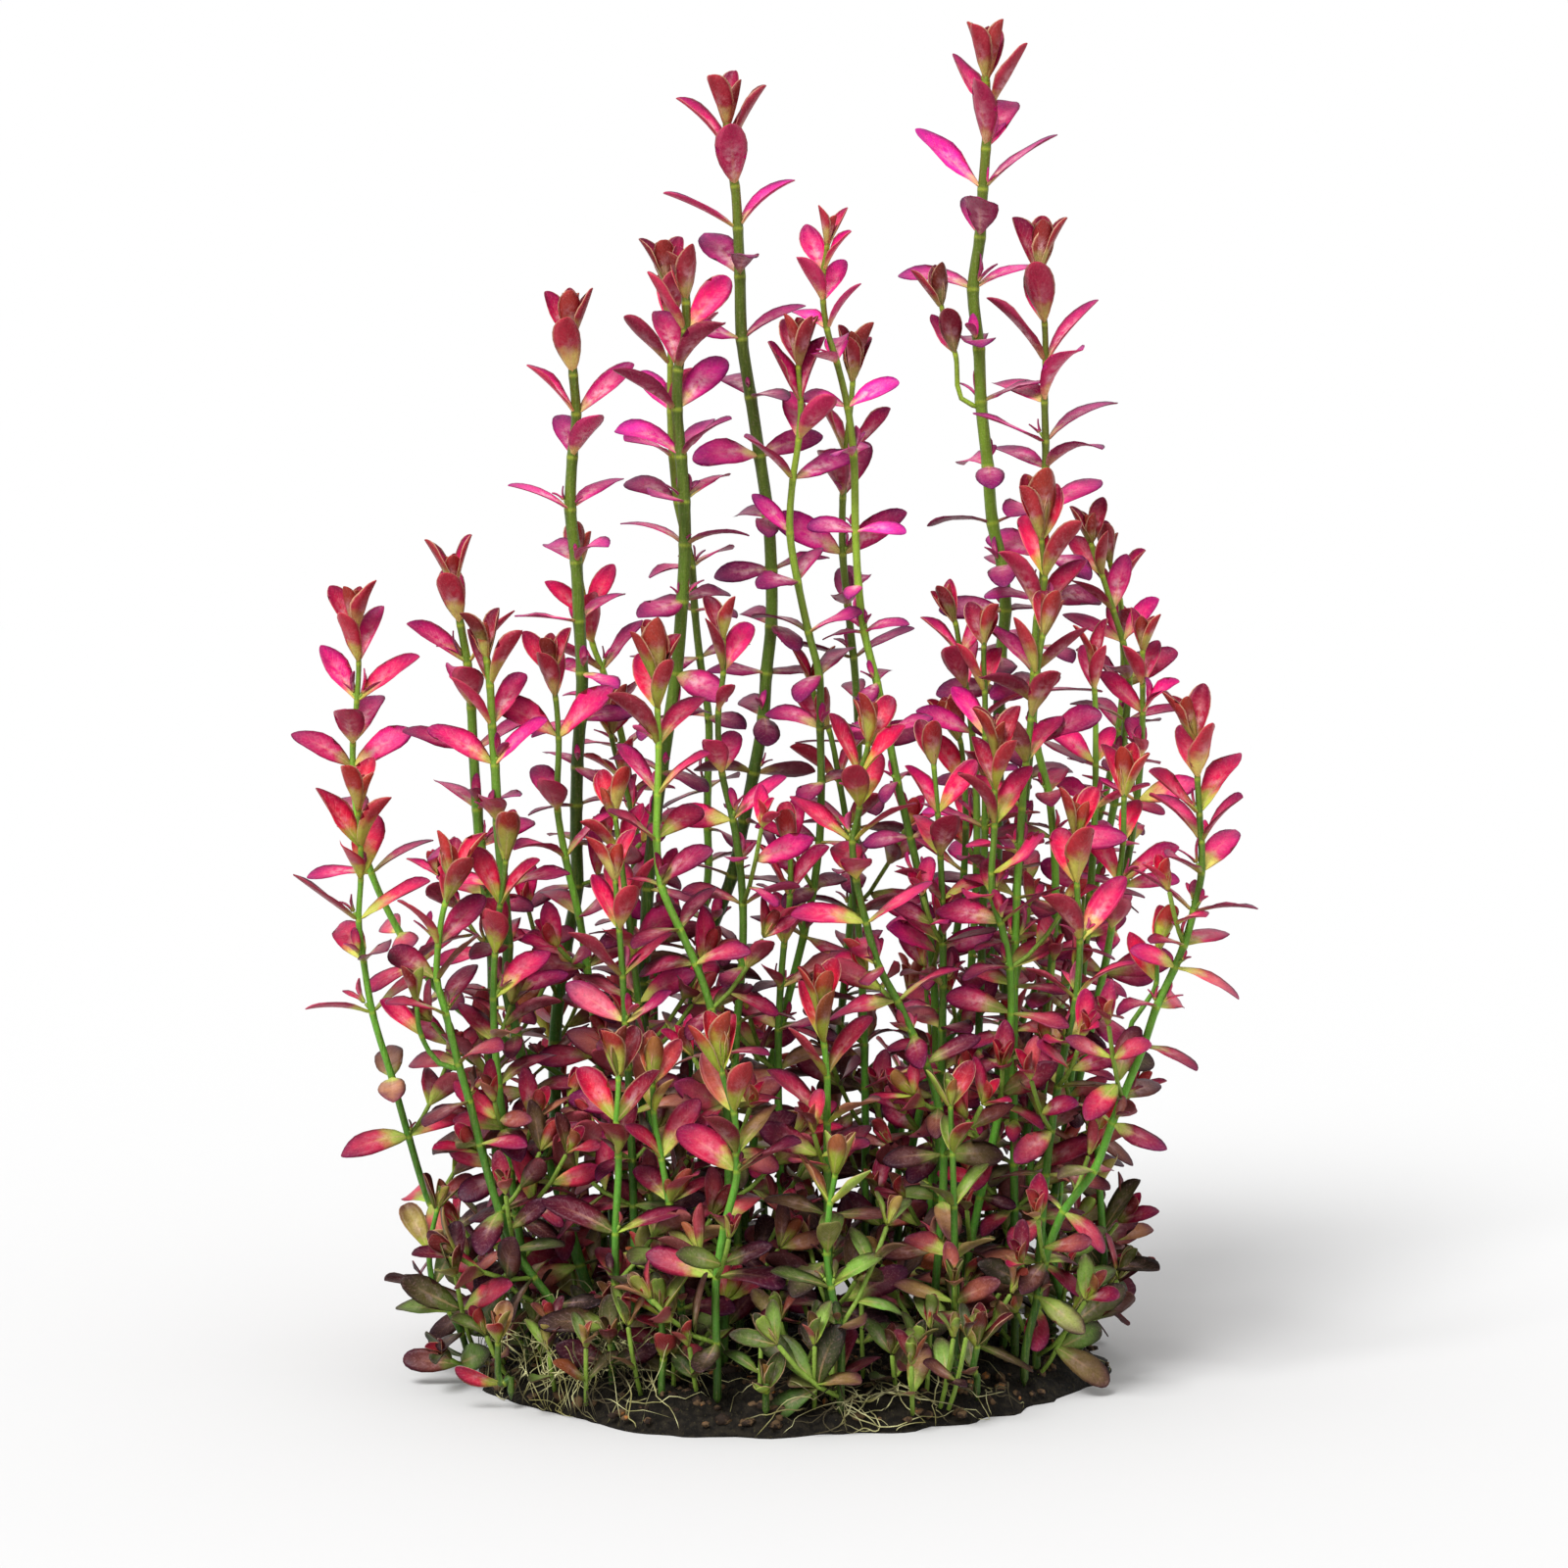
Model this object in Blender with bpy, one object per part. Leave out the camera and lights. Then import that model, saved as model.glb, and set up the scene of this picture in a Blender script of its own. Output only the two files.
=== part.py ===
"""A clump of Rotala ramosior 'Florida', an aquarium stem plant: leafy shoots that rise from one low mat of roots.

The unit is the millimetre until a mesh is made, +Z is up, the front of the clump faces -Y, and the origin is the
middle of the mat's flat underside, where the plant is cut off from the ground."""

import math

import bmesh
import bpy
import numpy as np

MM = 0.001
MAT_NAME = "root_mat"

# The mat of roots is a low round cushion with a level crown. Each foot keeps a small gap to it.
MAT_RADIUS = 66.0
MAT_RIM = 3.5
MAT_FLATTENED = 0.08
CROWN_RADIUS = 38.0
CROWN_HEIGHT = 6.0
MAT_SIDES = 32
FOOT_GAP = 0.45
FOOT_STUB = 3.0
BRANCH_STUB = 1.4
BRANCH_FOOT = 0.8

# Stems are four-sided and taper to the top, and leaves stand in opposite pairs, each a quarter turn from the
# last.
STEM_TOP = 0.7
STEM_FOOT = 1.25
STEM_TAPER = 50.0
STEM_SHOULDER = 0.92
INTERNODE = 9.0
WIDTH_OF_LENGTH = 0.38
SPREAD = (26, 35, 46, 56, 65, 72, 77, 81, 84, 86)  # degrees from the stem, from the top pair down
LENGTHS = (0.85, 0.99, 1.1, 1.14, 1.12, 1.08, 1.04, 1.0, 0.96, 0.9)  # shares of the shoot's leaf length
TWIST = 12  # degrees that each of the pairs under the top two turns on beyond the quarter turn
DROOP = 20  # degrees that the older leaves at the front of a stem hang further
BACK_DEPTH = 18.0  # behind this and below this height, leaves face the back
BACK_HEIGHT = 125.0
LOWEST_TIP = 1.5  # no leaf comes nearer to the ground
LEAF_GAP = 1.8  # least distance between sample points of leaves on two shoots
STEM_GAP = 0.9  # least distance from a leaf's sample point to another shoot's stem

# What a solid leaf is: a wedge with a flat top and a keel.
BLADE_KEEL = 0.7
BLADE_ROOT = 0.3  # how far the wedge starts behind the stem's middle
WIDEST = 0.56
TOP_PAIRS = 2
SOLID_EVERY = 6
SIDE_REACH = 93.0
DEPTH_REACH = 62.5
BUD_SIDES = 4
BUD_RADIUS = 2.1
RING_SPACING = 44.0

# The routes below are read off a front view, from 5 degrees above level and 889 mm away, whose middle is at this
# height. A route's numbers are millimetres across and up, at the scale of the plane through the origin.
VIEW_TILT = math.radians(5)
VIEW_DISTANCE = 889.0
VIEW_HEIGHT = 121.2

# Each shoot: its foot on the mat, the depth of its tip, the turn of its top pair in degrees, its leaf length,
# and its route from the tip down to where other shoots hide it. Each point below the tip is a node.
SHOOTS = {
    "left_shoot_1": ((-30, 17), 14, 150, 14, (
        (-88, 162.2), (-87.2, 152.2), (-86.8, 145.8), (-87.2, 138), (-88, 129.2), (-88, 124.6),
        (-84.2, 103), (-78.4, 90.8), (-69.6, 78), (-62.6, 72.4), (-48.6, 64), (-40.8, 57),
    )),
    "left_shoot_2": ((-60, -1), -14, 70, 14.5, (
        (-86.2, 124.6), (-86.8, 115.2), (-86.4, 108), (-86.4, 101.6), (-86.8, 93.4), (-85.8, 85),
        (-84, 74.6), (-80, 61.2), (-76.6, 49.2), (-72.2, 35.6), (-64.4, 22.4), (-62, 15.2),
    )),
    "left_shoot_3": ((-56, 12), 4, 0, 14, (
        (-67.6, 169), (-67.2, 160.6), (-66, 153.6), (-64.6, 145.8), (-63.8, 136.8), (-63.4, 127.8),
        (-62.6, 116), (-62, 108.2), (-60.6, 97.8), (-59.6, 87), (-59.4, 75.6), (-59.4, 62.8), (-58.8, 52),
        (-58.4, 41.2),
    )),
    "left_shoot_4": ((-38, -8), -6, 45, 13.5, (
        (-62.6, 154.4), (-60.6, 146.2), (-60, 141.2), (-59.6, 133), (-59, 125), (-58.4, 113.2),
        (-57.2, 99.8), (-56.4, 88.2), (-56.4, 78.8), (-54.6, 69.8), (-52, 58.4), (-49.8, 49.8),
        (-46.6, 40.2), (-44, 31.2), (-41.6, 23),
    )),
    "left_shoot_5": ((-42, -22), -24, 20, 14, (
        (-69.2, 110), (-67.6, 101), (-69.2, 96.6), (-70.6, 88.2), (-70.8, 81.2), (-69, 74.2), (-66.4, 64),
        (-64.2, 56.4), (-62, 47.6), (-58, 33.8), (-54.8, 26.2), (-51, 20.4), (-46.6, 14.6),
    )),
    "left_shoot_6": ((-35, 4), 0, 165, 13.5, (
        (-48.6, 152.2), (-47.4, 143.2), (-46.6, 138.6), (-46, 130.6), (-46.2, 115.8), (-44.6, 106.2),
        (-41.8, 94), (-40.2, 83.8),
    )),
    "left_shoot_7": ((-46, 23), 16, 0, 14, (
        (-43.8, 223.2), (-43.6, 211.2), (-43, 204.6), (-42.4, 196.6), (-43.2, 187.8), (-43.6, 177.2),
        (-42.4, 166.4), (-41.8, 154.4), (-41.2, 143.8), (-42.2, 124.6), (-42.4, 109.2), (-42.2, 100.4),
        (-44.6, 87), (-46, 77.4),
    )),
    "left_shoot_8": ((-39, 37), 36, 100, 13, (
        (-42, 173.2), (-41.8, 165.4), (-40, 155.2), (-39, 149.6), (-37, 144.4),
    )),
    "left_shoot_9": ((-29, 31), 27, 50, 12, (
        (-34.8, 142.8), (-35.2, 131), (-32.6, 121.4), (-31, 115.2),
    )),
    "left_shoot_10": ((-25, -6), -6, 125, 13.5, (
        (-35.4, 122.2), (-34.4, 114.2), (-33.2, 105.2),
    )),
    "left_shoot_11": ((-30, -18), -18, 30, 13.5, (
        (-34.8, 110), (-34.4, 101.2), (-33.6, 91.2),
    )),
    "left_shoot_12": ((-52, -14), -20, 80, 13.5, (
        (-56.8, 112.2), (-56.8, 105.2), (-58, 96.2), (-59, 86.2),
    )),
    "left_low_shoot_1": ((-63, -12), -16, 35, 11.5, (
        (-69.2, 40.2), (-70.8, 34.2), (-72.4, 25.4), (-71.4, 18.4), (-68.2, 13.4), (-65.8, 9),
        (-63.8, 3.8),
    )),
    "left_low_shoot_2": ((-54, -38), -40, 75, 10.5, (
        (-58, 14.2), (-58.4, 7), (-57.2, -1.2),
    )),
    "middle_shoot_1": ((-26, 6), -2, 112, 15, (
        (-21, 230.8), (-20, 219.4), (-20, 213.6), (-21.6, 205.6), (-21.8, 197.6), (-21, 188),
        (-20.4, 178.8), (-20.2, 170), (-20.8, 158.4), (-22, 143.8), (-23.4, 134.2), (-26.4, 113.2),
        (-27.8, 99.8), (-28.2, 90.2), (-28.8, 80.6), (-29, 71),
    )),
    "middle_shoot_2": ((-17, 38), 30, 10, 14, (
        (-25, 232.8), (-23.8, 222), (-23.2, 214.6), (-23.2, 206.8), (-23.2, 197.2), (-22.8, 188),
        (-21.8, 178.8), (-18.8, 165.4), (-18.2, 156.6), (-17.2, 147), (-15.4, 134.8), (-15.6, 120.2),
        (-15.6, 112), (-15.4, 105.4), (-16.4, 93.4), (-17, 86.4),
    )),
    "middle_shoot_3": ((-20, 25), 14, 72, 15, (
        (-12, 266.2), (-11.6, 255), (-11.4, 250.2), (-10, 243.2), (-9.4, 234.6), (-9, 224.8), (-8.6, 212),
        (-6.8, 200.2), (-5, 188.2), (-3.2, 175.6), (-2.6, 164.8), (-2.6, 153.4), (-3.6, 143.8),
        (-4.2, 134.8), (-6.2, 123.4), (-8.2, 113.6), (-10.6, 102.4), (-14.8, 91.4),
    )),
    "middle_shoot_4": ((30, 9), 2, 40, 11, (
        (9.2, 237.8), (8.8, 230.8), (8, 225.8), (8, 219.6), (8.8, 214), (10.8, 207.2), (13, 198),
        (14.2, 188.2), (14.6, 172.6), (15.2, 161.6), (16.4, 152.2), (19, 141.8), (21.2, 131.6),
        (23.2, 121.4), (25.8, 110.2), (27.8, 101.6),
    )),
    "middle_shoot_5": ((-9, 14), 4, 112, 14, (
        (3.4, 218), (3, 206.2), (3.4, 199.2), (3, 191.4), (1.8, 183.4), (1.2, 172.6), (2.8, 162.4),
        (5, 152.2), (7.2, 143.2), (7.4, 132.4), (7.6, 121.4), (7.2, 109.2), (6, 99.8), (4, 90.2),
        (1.6, 80.6), (-0.4, 72.4), (-3, 63.4),
    )),
    "middle_shoot_6": ((8, 38), 28, 60, 14, (
        (14.6, 216.2), (14, 202.8), (12.6, 188.4), (12, 179.6), (12, 168), (13, 157.8), (14.2, 147),
    )),
    "middle_shoot_7": ((17, 19), 19, 25, 12, (
        (7.2, 146.4), (6, 140.2), (9.2, 132.2), (11.4, 121.2),
    )),
    "middle_shoot_8": ((-9, -10), -8, 140, 12.5, (
        (-12.8, 156), (-12.4, 150.2), (-12.4, 143.8), (-13.4, 135.8), (-12.6, 123.2), (-10.4, 113.8),
        (-8.4, 96.6), (-8.6, 83.8), (-9.6, 72.4),
    )),
    "middle_shoot_9": ((-12, -23), -20, 20, 14, (
        (-26.8, 156.2), (-25.8, 141.2), (-25.8, 136.2), (-25.6, 128.8), (-25.8, 119), (-26, 109.8),
        (-25, 100.4), (-21.2, 91.4), (-18, 84.4),
    )),
    "middle_shoot_10": ((30, -20), -26, 55, 14, (
        (16.8, 138.8), (17.2, 129.2), (15.4, 122.8), (15.4, 116.4), (14, 109.4), (14.8, 101.6),
        (16.8, 92.8), (19.4, 83.8), (23.2, 76.8), (26.4, 69.8), (29, 64),
    )),
    "middle_shoot_11": ((9, -30), -36, 30, 14, (
        (7.8, 84.4), (7.2, 73.6), (8.2, 67.8), (8.8, 61.4), (8.8, 52),
    )),
    "middle_shoot_12": ((0, 2), -4, 95, 13, (
        (0, 115.2), (1.2, 107.2), (1.2, 98.2), (0, 88.2),
    )),
    "right_shoot_1": ((16, 26), 24, 60, 16, (
        (41.2, 277.8), (41.2, 264.2), (41.6, 258.6), (41.2, 250.8), (40.6, 242.6), (40, 232.8),
        (38.6, 222.2), (39.8, 210), (40.2, 199.2), (41.6, 186), (42.6, 174.4), (44.6, 165.4),
        (45.2, 156.6), (44.2, 147), (44, 140.6), (43.6, 121.2), (43, 101.2), (39.8, 80), (35.4, 72.4),
        (25.6, 60.2), (20.6, 43.2),
    )),
    "right_shoot_2": ((43, 27), 24, 0, 16.5, (
        (52.8, 237.8), (52, 225), (53.2, 215), (53.4, 207.2), (53.2, 199), (53.4, 191), (53.4, 185.6),
    )),
    "right_shoot_3": ((45, -5), 2, 30, 15.5, (
        (51.4, 186.4), (52.6, 170.6), (53.2, 163), (51.6, 155.2), (51, 143.8), (50.6, 138), (51.6, 129.2),
        (54, 119.2), (55, 110.2), (55.4, 96.6), (54.8, 87),
    )),
    "right_shoot_4": ((47, 35), 26, 35, 12, (
        (62, 177.6), (62.8, 170), (65, 163.6), (67.2, 156.6), (69.2, 150.2), (70.4, 142.6), (69.8, 134.2),
    )),
    "right_shoot_5": ((37, 43), 36, 85, 12, (
        (66, 172.6), (66.6, 166.2), (68.6, 158.8), (69.2, 149.2),
    )),
    "right_shoot_6": ((55, 22), 12, 140, 11.5, (
        (74.6, 156.2), (73.2, 148.2), (73.2, 141.2), (73.2, 135.6),
    )),
    "right_shoot_7": ((47, -12), -8, 110, 13, (
        (55, 159.8), (52.8, 151.2), (51.6, 143.4),
    )),
    "right_shoot_8": ((56, 10), 4, 15, 12, (
        (62.8, 150.2), (63, 145), (63.4, 140), (63.6, 125.2),
    )),
    "right_shoot_9": ((34, 17), 12, 60, 12, (
        (31.4, 162.2), (35, 154), (36, 147.6), (37.2, 140.6),
    )),
    "right_shoot_10": ((39, 9), 2, 130, 12, (
        (42, 157.2), (40.8, 149.2), (41, 140),
    )),
    "right_shoot_11": ((36, -12), -23, 25, 14, (
        (44, 134.8), (43.2, 126), (43, 119.6), (43, 112.6), (42.4, 103), (42.6, 97.8), (44.2, 92.8),
    )),
    "right_shoot_12": ((31, -3), -8, 100, 13, (
        (30, 130.8), (30.6, 124.6), (31.4, 115),
    )),
    "right_shoot_13": ((23, 17), 18, 75, 12, (
        (31.6, 140.2), (36, 129.8), (36.8, 121.4),
    )),
    "right_shoot_14": ((51, -19), -22, 25, 14, (
        (60.8, 119), (59.6, 110), (59.8, 100.4), (60.4, 89), (59.6, 77.4), (57.6, 68.4),
    )),
    "right_shoot_15": ((53, 1), -4, 150, 14, (
        (70, 129.8), (69.4, 118.2), (69.2, 109.2), (68.2, 100.8),
    )),
    "right_shoot_16": ((48, -29), -34, 25, 14, (
        (80.4, 140), (84.2, 129.8), (84.4, 122.2), (84.8, 115), (85.2, 109.4), (85.2, 103), (83.6, 95.2),
        (81.6, 88.2), (79.8, 83.8), (76, 75.6), (73.4, 67.8), (69, 57), (67, 52), (63.2, 42.2), (57, 33.8),
        (53.2, 23.6), (51.8, 16.6),
    )),
    "right_shoot_17": ((58, -10), -15, 62, 13, (
        (52.8, 71.6), (53.8, 66.6), (53.4, 60.8), (52, 53.2), (50.4, 42), (52, 32.6),
    )),
    "right_low_shoot": ((61, -1), -8, 20, 13, (
        (61.6, 58.2), (63.6, 49.2), (64.4, 38.8), (65, 29.2), (65, 22.4), (60.8, 16.6),
    )),
    "front_shoot_1": ((-34, -36), -38, 60, 14, (
        (-35.8, 72.4), (-33.8, 60.8), (-34.2, 52), (-33.8, 45.2), (-34.4, 29.4), (-34.4, 19.2),
    )),
    "front_shoot_2": ((-20, -34), -36, 15, 13.5, (
        (-26.8, 71), (-26.8, 59.6), (-26.6, 54.2), (-25, 44.6), (-23.4, 35.6),
    )),
    "front_shoot_3": ((-13, -49), -46, 40, 14, (
        (-13.4, 75.6), (-12.6, 62.2), (-10.2, 54), (-9.6, 45.6), (-9.6, 42), (-12.2, 30.6), (-13.8, 20.4),
        (-13.8, 7),
    )),
    "front_shoot_4": ((11, -54), -52, 75, 11.5, (
        (11.6, 51.2), (10.4, 41.2), (9.4, 35.6), (8.8, 25.4), (9.6, 18.4), (11.4, 10.2),
    )),
    "front_shoot_5": ((34, -33), -36, 30, 11.5, (
        (33.8, 62.2), (34, 55.2), (34.4, 45.6),
    )),
    "front_low_shoot_1": ((-24, -45), -46, 10, 12, (
        (-26.4, 21.6), (-25.2, 12.8), (-24.6, 3.8),
    )),
    "front_low_shoot_2": ((-3.5, -56), -58, 55, 10.5, (
        (-3.6, 4.2), (-3.6, -2.6),
    )),
    "front_low_shoot_3": ((38, -41), -44, 5, 12, (
        (40, 15.2), (39.4, 6.4), (38.8, 1.2),
    )),
    "back_shoot_1": ((-48, 37), 42, 20, 13, (
        (-48, 77.2), (-47.4, 69.2),
    )),
    "back_shoot_2": ((-4, 52), 56, 70, 13, (
        (-6, 73.2), (-5.6, 65.2),
    )),
    "back_shoot_3": ((24, 47), 52, 120, 13, (
        (26, 85.2), (25.6, 77.2),
    )),
}

# How stout each stem is beside the common one: the tall ones are thick and the front ones slender.
STOUT = {
    "left_shoot_1": 0.66, "left_shoot_2": 0.66, "left_shoot_3": 1.0, "left_shoot_4": 1.0,
    "left_shoot_5": 0.75,
    "left_shoot_7": 1.15, "middle_shoot_1": 1.15, "middle_shoot_3": 1.12, "right_shoot_1": 1.12,
    "front_shoot_1": 0.68, "front_shoot_2": 0.66, "front_shoot_3": 0.7, "front_shoot_4": 0.66,
    "front_shoot_5": 0.66, "front_low_shoot_1": 0.6, "front_low_shoot_2": 0.6, "front_low_shoot_3": 0.6,
    "left_low_shoot_1": 0.6, "left_low_shoot_2": 0.6,
}
COMMON_STOUT = 0.72

# Side branches: the shoot that each one grows from, and the rest as above. The last point is the fork.
BRANCHES = {
    "right_branch_1": ("right_shoot_1", 23, 15, 12, (
        (31.4, 228.2), (32.2, 218.4), (35, 208.8), (39.8, 198.8),
    )),
    "left_branch": ("left_shoot_5", -24, 55, 12, (
        (-75.2, 84.4), (-75, 76.8), (-74, 69.8), (-66.6, 63.2),
    )),
    "right_branch_2": ("right_shoot_16", -30, 95, 12, (
        (77.6, 91.4), (76.2, 87), (76, 80.6), (73, 67),
    )),
}

LEAF_COLOUR = (0.42, 0.035, 0.09, 1)
MAT_COLOUR = (0.035, 0.026, 0.018, 1)


def place(across, up, depth):
    """The point that shows at this place in the front view and stands this far back."""
    rise = up - VIEW_HEIGHT
    sine, cosine = math.sin(VIEW_TILT), math.cos(VIEW_TILT)
    beyond = (depth - rise * sine) / (cosine + rise * sine / VIEW_DISTANCE)
    larger = 1 + beyond / VIEW_DISTANCE
    return np.array([across * larger, depth, VIEW_HEIGHT + rise * larger * cosine - beyond * sine])


def shown_up(point):
    """How far up a point shows in the front view."""
    rise = point[2] - VIEW_HEIGHT
    sine, cosine = math.sin(VIEW_TILT), math.cos(VIEW_TILT)
    beyond = point[1] * cosine - rise * sine
    return VIEW_HEIGHT + (rise * cosine + point[1] * sine) / (1 + beyond / VIEW_DISTANCE)


def mat_edge(x, y):
    """The mat is wider than deep, and its outline wanders: the share of its radius in this direction."""
    angle = np.arctan2(y, x)
    return 1 - MAT_FLATTENED * np.sin(angle) ** 2 + 0.03 * np.sin(3 * angle + 0.6) + 0.02 * np.sin(7 * angle + 2)


def mat_top(x, y):
    """Height of the mat under a foot."""
    out = math.hypot(x, y) / mat_edge(x, y)
    return float(np.interp(out, [CROWN_RADIUS, MAT_RADIUS], [CROWN_HEIGHT, MAT_RIM]))


def smooth(knots, points, at):
    """A smooth curve through points at the given knots, read at any parameters."""
    slopes = np.gradient(points, knots, axis=0)
    i = np.clip(np.searchsorted(knots, at, side="right") - 1, 0, len(knots) - 2)
    step = (knots[i + 1] - knots[i])[:, None]
    t = (at - knots[i])[:, None] / step
    start = points[i] * (1 + 2 * t) * (1 - t) ** 2 + slopes[i] * step * t * (1 - t) ** 2
    end = points[i + 1] * (3 - 2 * t) * t**2 + slopes[i + 1] * step * (t - 1) * t**2
    return start + end


class Shoot:
    """A stem's course from its foot to its tip, and the places of its nodes, counted from the top."""

    def __init__(self, name, low, foot_depth, tip_depth, turn, leaf, seen):
        self.name, self.turn, self.leaf = name, turn, leaf
        self.stout = STOUT.get(name, COMMON_STOUT)
        self.foot_width = STEM_FOOT
        top = seen[0][1]
        low_up = shown_up(low[0])
        share = [(up - low_up) / (top - low_up) for _, up in seen]
        depths = [foot_depth + (tip_depth - foot_depth) * s for s in share]
        seen_points = [place(a, up, depth) for (a, up), depth in zip(seen, depths)]
        points = np.array(low + seen_points[::-1])
        self.knots = np.concatenate([[0], np.cumsum(np.linalg.norm(np.diff(points, axis=0), axis=1))])
        self.points = points
        nodes = []
        for lower, upper in zip(self.knots[1:-2], self.knots[2:-1]):
            parts = max(1, round((upper - lower) / INTERNODE - 0.25))
            nodes += list(np.linspace(lower, upper, parts, endpoint=False))
        self.nodes = np.array((nodes[1:] + [self.knots[-2]])[::-1])

    def at(self, along):
        return smooth(self.knots, self.points, np.atleast_1d(along))

    def heading(self, along):
        ahead = self.at(along + 1.0) - self.at(along - 1.0)
        return ahead / np.linalg.norm(ahead, axis=1, keepdims=True)

    def half_width(self, along):
        end = self.knots[-1]
        shoulder = end - min(STEM_TAPER, end / 2)
        widths = [self.foot_width, STEM_SHOULDER * self.foot_width, STEM_TOP]
        return self.stout * np.interp(along, [0, shoulder, end], widths)


def grow_shoots():
    """All shoots by name, the branches after the shoots that carry them."""
    shoots = {}
    for name, (foot, tip_depth, turn, leaf, seen) in SHOOTS.items():
        ground = np.array([*foot, mat_top(*foot) + FOOT_GAP])
        low = [ground, ground + (0, 0, FOOT_STUB)]
        shoots[name] = Shoot(name, low, foot[1], tip_depth, turn, leaf, seen)
    for name, (parent, tip_depth, turn, leaf, seen) in BRANCHES.items():
        stem = shoots[parent]
        along = np.arange(0, stem.knots[-1], 0.5)
        course = stem.at(along)
        fork = np.argmin(np.linalg.norm(course - place(*seen[-1], stem.points[-1][1]), axis=1))
        head = stem.heading(along[fork])[0]
        way = place(*seen[-2], course[fork, 1]) - course[fork]
        way -= head * way.dot(head)
        way /= np.linalg.norm(way)
        start = course[fork] + way * (stem.half_width(along[fork]) + FOOT_GAP)
        low = [start, start + way * BRANCH_STUB + head * BRANCH_STUB / 2]
        shoots[name] = Shoot(name, low, course[fork, 1], tip_depth, turn, leaf, seen[:-1])
        shoots[name].foot_width = BRANCH_FOOT
    return shoots


def leaf_pairs(shoot, rng):
    """For each node, from the top down: the place, the stem's heading, and a leaf's turn, lift, facing, length."""
    heads = shoot.heading(shoot.nodes)
    places = shoot.at(shoot.nodes)
    for k, (spot, head) in enumerate(zip(places, heads)):
        rank = min(k, len(SPREAD) - 1)
        low = np.clip((70 - spot[2]) / 70, 0, 1)
        twist = TWIST * min(max(k - 1, 0), 3)
        for side in (0, 180):
            turn = shoot.turn + 90 * k + twist + side + rng.uniform(-12, 12)
            toward = max(0, -math.sin(math.radians(turn))) * min(max((rank - 3) / 4, 0), 1)
            lift = SPREAD[rank] + 18 * low + DROOP * toward + rng.uniform(-6, 6)
            hidden = spot[1] > BACK_DEPTH and spot[2] < BACK_HEIGHT
            facing = rng.uniform(-0.15, 0.85) * (-1 if hidden else 1)
            length = shoot.leaf * LENGTHS[rank] * (1 - 0.05 * low) * rng.uniform(0.93, 1.07)
            yield k, spot, head, turn, lift, facing, length


def blade_axes(head, turn, lift, facing=0.0):
    """A leaf's own axes: out along the blade, across it, and up from its upper face.

    Facing is the share of the way that the blade rolls about its length to face the front."""
    right = np.array([1.0, 0, 0]) - head[0] * head
    right /= np.linalg.norm(right)
    back = np.cross(head, right)
    turn, lift = math.radians(turn), math.radians(lift)
    out = right * math.cos(turn) + back * math.sin(turn)
    along = head * math.cos(lift) + out * math.sin(lift)
    upper = head * math.sin(lift) - out * math.cos(lift)
    across = np.cross(upper, along)
    roll = facing * math.asin(-across[1])
    rolled = across * math.cos(roll) - upper * math.sin(roll)
    return along, rolled, upper * math.cos(roll) + across * math.sin(roll)


def samples(spot, axes, length):
    """Points spread over a blade, to test it against others."""
    width = length * WIDTH_OF_LENGTH
    out = np.array([0.2, 0.36, 0.52, 0.68, 0.84, 1.0])
    half = width / 2 * np.array([0.35, 0.8, 1.0, 0.9, 0.55, 0.0])
    across = np.concatenate([-half, 0 * half, half])
    return spot + np.outer(np.tile(out * length, 3), axes[0]) + np.outer(across, axes[1])


# Ways to shift a leaf that would touch a neighbour: its turn and lift in degrees, and the share of its length that
# it keeps.
SHIFTS = (
    (0, 0, 1), (0, 10, 1), (14, 0, 1), (-14, 0, 1), (0, -10, 1), (26, 5, 1), (-26, 5, 1), (0, 20, 0.9),
    (16, 14, 0.85), (-16, 14, 0.85), (0, 0, 0.75), (34, 8, 0.75), (-34, 8, 0.75), (0, -16, 0.7),
    (0, 0, 0.55),
)


class Thicket:
    """All that is standing so far: sample points of every stem, and of each leaf as it is set."""

    def __init__(self, shoots):
        rows = []
        for i, shoot in enumerate(shoots.values()):
            along = np.arange(0, shoot.knots[-1], 1.5)
            rows.append(np.column_stack([shoot.at(along), shoot.half_width(along), np.full(len(along), i)]))
        self.stems = np.concatenate(rows)
        self.blades = np.zeros((0, 18, 3))
        self.middles = np.zeros((0, 3))
        self.owners = np.zeros(0)

    def clear(self, points, owner):
        middle = points.mean(axis=0)
        near = (self.stems[:, 4] != owner) & (np.linalg.norm(self.stems[:, :3] - middle, axis=1) < 14)
        stems = self.stems[near]
        gaps = np.linalg.norm(points[:, None] - stems[None, :, :3], axis=2) - stems[None, :, 3]
        if gaps.size and gaps.min() < STEM_GAP:
            return False
        near = (self.owners != owner) & (np.linalg.norm(self.middles - middle, axis=1) < 18)
        others = self.blades[near].reshape(-1, 3)
        gaps = np.linalg.norm(points[:, None] - others[None], axis=2)
        return not gaps.size or gaps.min() > LEAF_GAP

    def add(self, points, owner):
        self.blades = np.concatenate([self.blades, points[None]])
        self.middles = np.concatenate([self.middles, points.mean(axis=0)[None]])
        self.owners = np.append(self.owners, owner)


def set_leaves(shoots):
    """The leaves of each shoot, shifted clear of other shoots: node rank, place, axes and length."""
    thicket = Thicket(shoots)
    rng = np.random.default_rng(7)
    leaves = {name: [] for name in shoots}
    for owner, (name, shoot) in enumerate(shoots.items()):
        for k, spot, head, turn, lift, facing, length in leaf_pairs(shoot, rng):
            for more_turn, more_lift, keep in SHIFTS:
                axes = blade_axes(head, turn + more_turn, lift + more_lift, facing)
                points = samples(spot, axes, length * keep)
                if points[:, 2].min() > LOWEST_TIP and thicket.clear(points, owner):
                    thicket.add(points, owner)
                    leaves[name].append((k, spot, axes, length * keep))
                    break
    return leaves


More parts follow.
